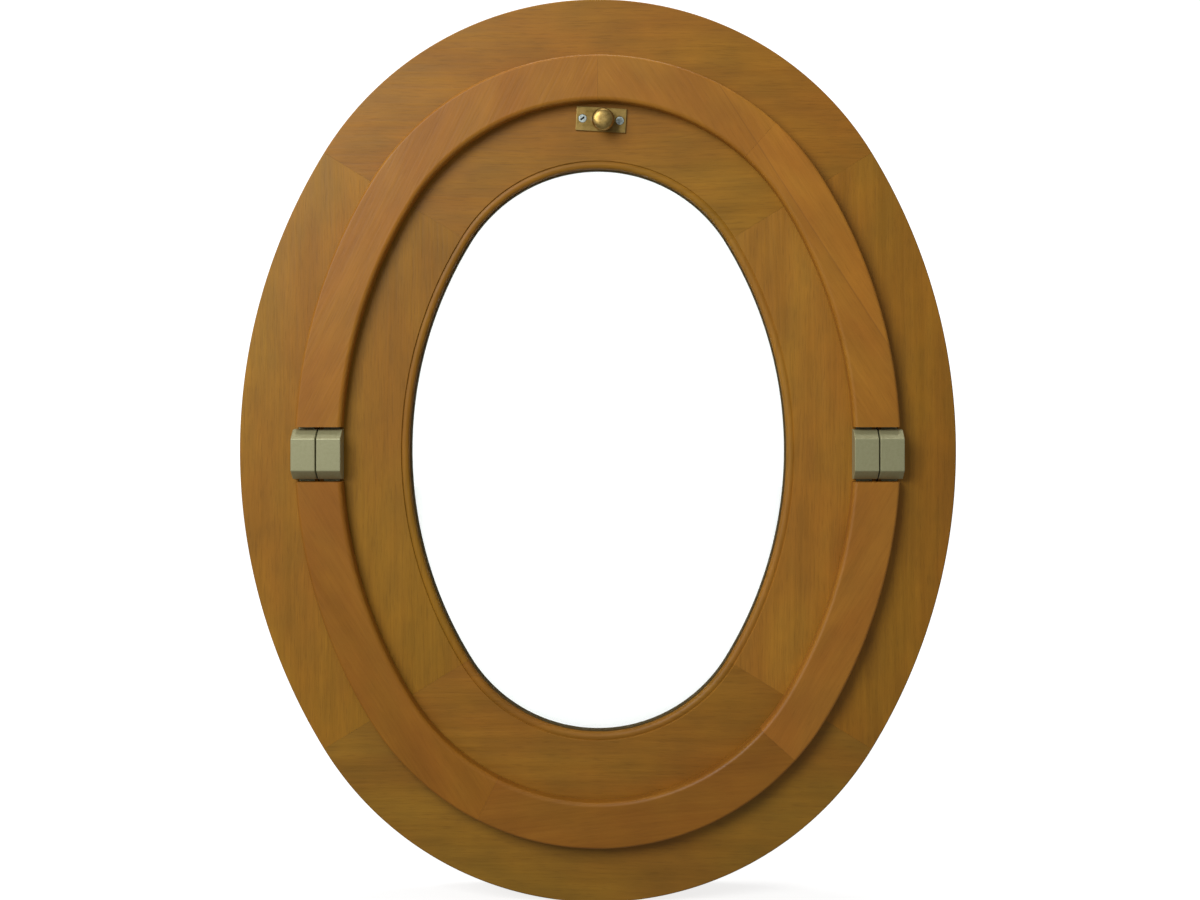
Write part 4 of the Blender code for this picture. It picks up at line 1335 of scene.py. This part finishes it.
@dataclass
class Latch:
    """The spring latch at the sash's top: its plate, knob, bolt, case, spring and strike."""

    oval: Oval
    rim_z: float = 0.3088
    x: float = 0.0043
    depth: float = 0.012
    travel: float = 0.0052
    below_rim: float = 0.0356
    knob_radius: float = 0.00935
    face_radius: float = 0.0058
    neck_radius: float = 0.0042
    knob_proud: float = 0.019
    knob_length: float = 0.016
    stem: float = 0.0016
    plate_size: tuple[float, float, float] = (0.0415, 0.0015, 0.020)
    plate_turn: float = 3.5
    plate_x: float = 0.0027
    plate_above: float = 0.0016
    plate_pitch: float = 0.031
    bolt: float = 0.0046
    throw: float = 0.005
    bolt_below: float = 0.0048
    case_wall: float = 0.0015
    case_floor: float = 0.0025
    case_below_rim: float = 0.0008
    spring_room: float = 0.0144
    spring_turns: int = 5
    turn_steps: int = 20
    wire: float = 0.0006
    strike_size: tuple[float, float, float] = (0.034, 0.013, 0.0016)
    strike_z: float = 0.3103
    strike_pitch: float = 0.023
    strike_drop: float = 0.004
    mortise: float = 0.010
    plate_screw: Screw = Screw(0.0033, 0.0015, 0.012)
    strike_screw: Screw = Screw(0.0028, 0.0013, 0.012)

    @property
    def knob_z(self) -> float:
        """Height of the knob's axis."""
        return self.rim_z - self.below_rim

    @property
    def facing(self) -> Matrix:
        """A matrix on the knob's axis that faces the room."""
        return Matrix.Translation((self.x, self.oval.face_y, self.knob_z)) @ FACE_THE_ROOM

    def upright(self, z: float | None = None) -> Matrix:
        """A matrix on the bolt's axis, at the knob's height if no other is given."""
        return Matrix.Translation((self.x, self.oval.face_y + self.depth, self.knob_z if z is None else z))

    def plate_place(self) -> Matrix:
        """A matrix on the face plate's centre, turned as the plate is."""
        centre = (self.plate_x, self.oval.face_y - GAP, self.knob_z + self.plate_above)
        return Matrix.Translation(centre) @ Matrix.Rotation(math.radians(self.plate_turn), 4, "Y")

    def plate_seats(self) -> list[Matrix]:
        """Where the plate's screws sit, the left first."""
        front, half = -self.plate_size[1] + GAP, self.plate_pitch / 2
        return [self.plate_place() @ Matrix.Translation((x, front, 0)) @ FACE_THE_ROOM for x in (-half, half)]

    def strike_seats(self) -> list[Matrix]:
        """Where the strike's screws sit, the left first."""
        middle, half = self.upright(self.strike_z + GAP), self.strike_pitch / 2
        return [middle @ Matrix.Translation((x, 0, 0)) @ FACE_DOWN for x in (-half, half)]

    def slot(self, clearance: float, back: float) -> Mesh:
        """The slot that the stem travels in, with a clearance round the stem and its back's depth."""
        half, face = self.stem + clearance, self.oval.face_y
        low = (self.x - half, face - PAST, self.knob_z - self.travel - half)
        return block(low, (self.x + half, face + back, self.knob_z + half))

    def sash_cuts(self) -> list[Mesh]:
        """What is cut out of the sash's top: the case's mortise, the stem's slot and the screw holes."""
        floor = -self.bolt_below - self.spring_room - self.case_floor - GAP
        outer = self.bolt + self.case_wall + 2 * GAP
        mortise = turned(rod(outer, self.below_rim + 2 * PAST, floor), self.upright(), 40)
        return [mortise, self.slot(3 * GAP, self.depth), *map(self.plate_screw.hole, self.plate_seats())]

    def strike_box(self, grow: float, drop: float) -> Mesh:
        """The strike plate's own box, or its recess with a clearance."""
        half = Vector(self.strike_size) / 2
        middle = self.upright(self.strike_z + half.z).translation
        more = Vector((grow, grow, grow))
        return block(middle - half - more - Vector((0, 0, drop)), middle + half + more)

    def strike_hole(self) -> Mesh:
        """The bolt's hole in the strike and the frame."""
        return turned(rod(self.bolt + 2 * GAP, self.mortise, -PAST), self.upright(self.strike_z), 40)

    def frame_cuts(self) -> list[Mesh]:
        """What is cut out of the frame's top: the strike's recess, the bolt's mortise and the screw holes."""
        holes = map(self.strike_screw.hole, self.strike_seats())
        return [self.strike_box(GAP, self.strike_drop), self.strike_hole(), *holes]

    def build_plate(self) -> None:
        """Builds the face plate and its screws."""
        length, thickness, height = self.plate_size
        bm = soften(block((-length / 2, -thickness, -height / 2), (length / 2, 0, height / 2)), 0.00035)
        bm.transform(self.plate_place())
        seats = self.plate_seats()
        cuts = [self.slot(2 * GAP, LAP), *map(self.plate_screw.hole, seats)]
        look = BRASS_PLATE.dress("brass_plate", -self.plate_turn)
        piece("latch_plate_brass", bm, Body.SASH, look, "latch_plate", cuts)
        for side, seat, turn in zip(("left", "right"), seats, (38.0, 71.0)):
            self.plate_screw.build(f"latch_plate_screw_{side}", seat, Body.SASH, turn)

    def build_case(self) -> None:
        """Builds the tube that guides the bolt, and the spring in it."""
        inner = self.bolt + GAP
        outer, top = inner + self.case_wall, self.below_rim - self.case_below_rim
        floor = -self.bolt_below - self.spring_room
        foot = floor - self.case_floor
        profile = (
            (inner, floor, 0),
            (inner, top, 0.0002),
            (outer, top, 0.0003),
            (outer, foot, 0.0005),
            (0, foot, 0),
            (0, floor, 0),
        )
        bm = turned(profile, self.upright(), 40, True)
        look = BRASS_TURNED.dress("brass_case")
        piece("latch_case_tube", bm, Body.SASH, look, "latch_case", [self.slot(2 * GAP, self.depth)])
        self.build_spring(floor)

    def build_spring(self, floor: float) -> None:
        """Builds the coil between the case's floor and the bolt's foot.

        Args:
            floor: The floor's height above the knob's axis.
        """
        low, high = floor + GAP + self.wire, -self.bolt_below - GAP - self.wire
        bm = bmesh.new()
        start = Matrix.Translation((self.bolt - self.wire - GAP, 0, low)) @ FACE_THE_ROOM
        ring = bmesh.ops.create_circle(bm, cap_ends=True, radius=self.wire, segments=10, matrix=start)
        steps = self.turn_steps * self.spring_turns
        face = ring["verts"][0].link_faces[0]
        bmesh.ops.spin(
            bm,
            geom=ring["verts"] + list(face.edges) + [face],
            cent=(0, 0, 0),
            axis=(0, 0, 1),
            dvec=(0, 0, (high - low) / steps),
            angle=2 * math.pi * self.spring_turns,
            steps=steps,
        )
        bm.transform(self.upright())
        made = piece("latch_spring_coil", bm, Body.SASH, STEEL.dress("steel_spring"), "latch_spring")
        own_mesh(made)

    def build_bolt(self) -> None:
        """Builds the bolt with its rounded nose, the stem and the turned knob."""
        nose, radius, foot = self.below_rim + self.throw, self.bolt, -self.bolt_below
        profile = ((0, nose, 0), (radius, nose, 0.9 * radius), (radius, foot, 0.0004), (0, foot, 0))
        back = -self.depth - 0.6 * radius
        front = self.knob_proud - 0.4 * self.knob_length
        socket = turned(rod(self.stem + GAP, self.depth + 2 * PAST, back - GAP), self.facing, 24)
        look = BRASS_TURNED.dress("brass_bolt")
        piece("latch_bolt_brass", turned(profile, self.upright(), 48), Body.LATCH, look, "latch_bolt", [socket])
        stem = turned(rod(self.stem, front, back, 0.0002), self.facing, 32)
        piece("latch_stem_rod", stem, Body.LATCH, BRASS_TURNED.dress("brass_stem"), "latch_stem")
        self.build_knob(front)

    def build_knob(self, stem_front: float) -> None:
        """Builds the turned knob.

        Args:
            stem_front: How far the stem's front end is proud of the room face.
        """
        front, back = self.knob_proud, self.knob_proud - self.knob_length
        swell = self.knob_radius - self.face_radius
        foot = self.neck_radius + 0.3 * swell
        profile = (
            (0, front, 0),
            (0.7 * self.face_radius, front - 0.03 * swell, 0.0010),
            (self.face_radius + 0.15 * swell, front - 0.16 * swell, 0.0007),
            (self.face_radius + 0.65 * swell, front - 0.42 * swell, 0.0007),
            (self.knob_radius, front - 1.00 * swell, 0.0009),
            (self.knob_radius - 0.05 * swell, front - 1.7 * swell, 0.0010),
            (self.neck_radius + 0.5 * swell, back + 1.9 * swell, 0.0016),
            (self.neck_radius, back + swell, 0.0012),
            (foot, back + 0.0004, 0.0003),
            (foot, back, 0),
            (0, back, 0),
        )
        hole = turned(rod(self.stem + GAP, stem_front + GAP, back - PAST), self.facing, 24)
        look = BRASS_TURNED.dress("brass_knob", 0.0, 2.0)
        piece("latch_knob_turned", turned(profile, self.facing, 64), Body.LATCH, look, "latch_knob", [hole])

    def build_strike(self) -> None:
        """Builds the strike plate and its screws."""
        seats = self.strike_seats()
        cuts = [self.strike_hole(), *map(self.strike_screw.hole, seats)]
        look = BRASS_PLATE.dress("brass_strike", 0.0, 5.0)
        plate = soften(self.strike_box(0.0, 0.0), 0.0003)
        piece("strike_plate_brass", plate, Body.FRAME, look, "strike_plate", cuts)
        for side, seat, turn in zip(("left", "right"), seats, (12.0, 55.0)):
            self.strike_screw.build(f"strike_screw_{side}", seat, Body.FRAME, turn)

    def build(self) -> None:
        """Builds every piece of the latch."""
        self.build_plate()
        self.build_case()
        self.build_bolt()
        self.build_strike()


# Studio


@dataclass
class Studio:
    """The pale floor, the soft lights and the camera."""

    floor_z: float = -0.3752
    floor_size: float = 9.0
    camera_distance: float = 1.3834
    lens: float = 50.0
    sensor: float = 36.0
    view_width: float = 0.996
    aim: Span = (0.0017, 0.0007)
    camera_side: float = 0.020
    camera_rise: float = 0.075
    world: float = 0.25
    backdrop: float = 1.25

    def build_floor(self) -> None:
        """Builds the floor."""
        bm = bmesh.new()
        place = Matrix.Translation((0, 0, self.floor_z))
        bmesh.ops.create_grid(bm, x_segments=2, y_segments=2, size=self.floor_size / 2, matrix=place)
        floor = mesh_object("floor", bm)
        nodes = Nodes(bpy.data.materials.new("pale_floor"))
        place = nodes.place()
        pale = nodes.mix(nodes.noise(place, (30.0,) * 3, 4.0), (0.36, 0.36, 0.355), (0.38, 0.38, 0.38))
        away = nodes.add("VectorMath", {0: place}, operation="LENGTH").outputs["Value"]
        glow = nodes.span(away, (0.5, 1.6), (0.80, 1.0))
        look = nodes.set(Base_Color=pale, Roughness=0.9, Emission_Color=WHITE, Emission_Strength=glow)
        floor.data.materials.append(look)
        floor.visible_diffuse = False
        floor.visible_glossy = False
        floor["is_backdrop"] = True

    def build_world(self) -> None:
        """Gives the studio its white surround: bright where it is seen, and a soft light on the object."""
        bpy.context.scene.world = bpy.data.worlds.new("studio")
        nodes = Nodes(bpy.context.scene.world, "Background")
        rays = nodes.add("LightPath", {}).outputs
        seen = nodes.math("MAXIMUM", rays["Is Camera Ray"], rays["Is Transmission Ray"])
        bounced = nodes.math("ADD", rays["Diffuse Depth"], rays["Glossy Depth"])
        strength = nodes.span(nodes.math("GREATER_THAN", seen, bounced), UNIT, (self.world, self.backdrop))
        nodes.set(Color=WHITE, Strength=strength)

    def add_light(self, name: str, place: Vector, target: Vector, size: float, power: float) -> None:
        """Adds a soft square light.

        Args:
            name: The light's name.
            place: Where it stands.
            target: What it faces.
            size: The length of its side.
            power: Its power, in watts.
        """
        data = bpy.data.lights.new(name, "AREA")
        data.shape = "SQUARE"
        data.size = size
        data.energy = power
        light = linked(name, data)
        light.location = place
        light.rotation_euler = (target - place).to_track_quat("-Z", "Y").to_euler()
        light.visible_camera = False
        light.visible_transmission = False

    def build_camera(self, face_y: float) -> None:
        """Adds the camera, level and square to the room face.

        Args:
            face_y: The room face's place.
        """
        data = bpy.data.cameras.new("camera")
        data.lens = self.lens
        data.sensor_width = self.sensor
        data.shift_x = -self.camera_side / self.view_width
        data.shift_y = -self.camera_rise / self.view_width
        camera = linked("camera", data)
        x, z = self.aim[0] + self.camera_side, self.aim[1] + self.camera_rise
        camera.location = (x, face_y - self.camera_distance, z)
        camera.rotation_euler = (math.radians(90), 0, 0)
        bpy.context.scene.camera = camera

    def build(self, face_y: float) -> None:
        """Builds the studio round the object, whose room face is at face_y."""
        bpy.context.scene.view_settings.view_transform = "Standard"
        self.build_floor()
        self.build_world()
        self.add_light("key", Vector((-0.82, -1.40, 0.78)), Vector((0.0, 0.0, 0.05)), 1.0, 22.5)
        self.add_light("overhead", Vector((0.0, 0.45, 2.4)), Vector((0.0, 0.3, 0.0)), 1.6, 40.0)
        self.build_camera(face_y)


# Each segment's grain angle, pattern shift and tint. The tints are partly the wood's own tone and partly painted
# light and shade, matched region by region, so that segments lie lighter or darker as the light fell on them.
FRAME_TINTS_AND_PAINTED_LIGHT = {
    "top": (0.0, 1.9, (1.04, 0.95, 0.54)),
    "left": (90.0, 1.3, (1.06, 1.02, 0.58)),
    "bottom": (0.0, 2.6, (0.90, 0.91, 0.64)),
    "right": (90.0, 4.1, (1.02, 0.94, 0.52)),
}
SASH_TINTS_AND_PAINTED_LIGHT = {
    "top": (0.0, 5.2, (1.03, 0.98, 0.58)),
    "left": (90.0, 6.4, (0.97, 0.93, 0.48)),
    "bottom": (0.0, 8.3, (0.96, 0.88, 0.62)),
    "right": (90.0, 9.6, (1.20, 1.13, 0.88)),
}


def main() -> None:
    """Builds the window's pieces in order, then the studio."""
    logging.basicConfig(level=logging.INFO, format="%(name)s: %(message)s")
    low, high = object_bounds()
    oval = Oval(high.x, high.z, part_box("frame_top")[0].y)
    rings = TimberRings(oval)
    pivots = Pivots(oval)
    latch = Latch(oval)
    frame_cuts = {"top": latch.frame_cuts(), "left": pivots.pockets(-1, -1), "right": pivots.pockets(1, -1)}
    sash_cuts = {"top": latch.sash_cuts(), "left": pivots.pockets(-1, 1), "right": pivots.pockets(1, 1)}
    rings.build_ring(Body.FRAME, rings.frame_section(), frame_cuts, FRAME_TINTS_AND_PAINTED_LIGHT)
    rings.build_ring(Body.SASH, rings.sash_section(), sash_cuts, SASH_TINTS_AND_PAINTED_LIGHT)
    rings.build_stop()
    CoverBands(oval).build()
    Glazing(oval, rings).build()
    pivots.build()
    latch.build()
    Studio().build(oval.face_y)
    low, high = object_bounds()


if __name__ == "__main__":
    main()
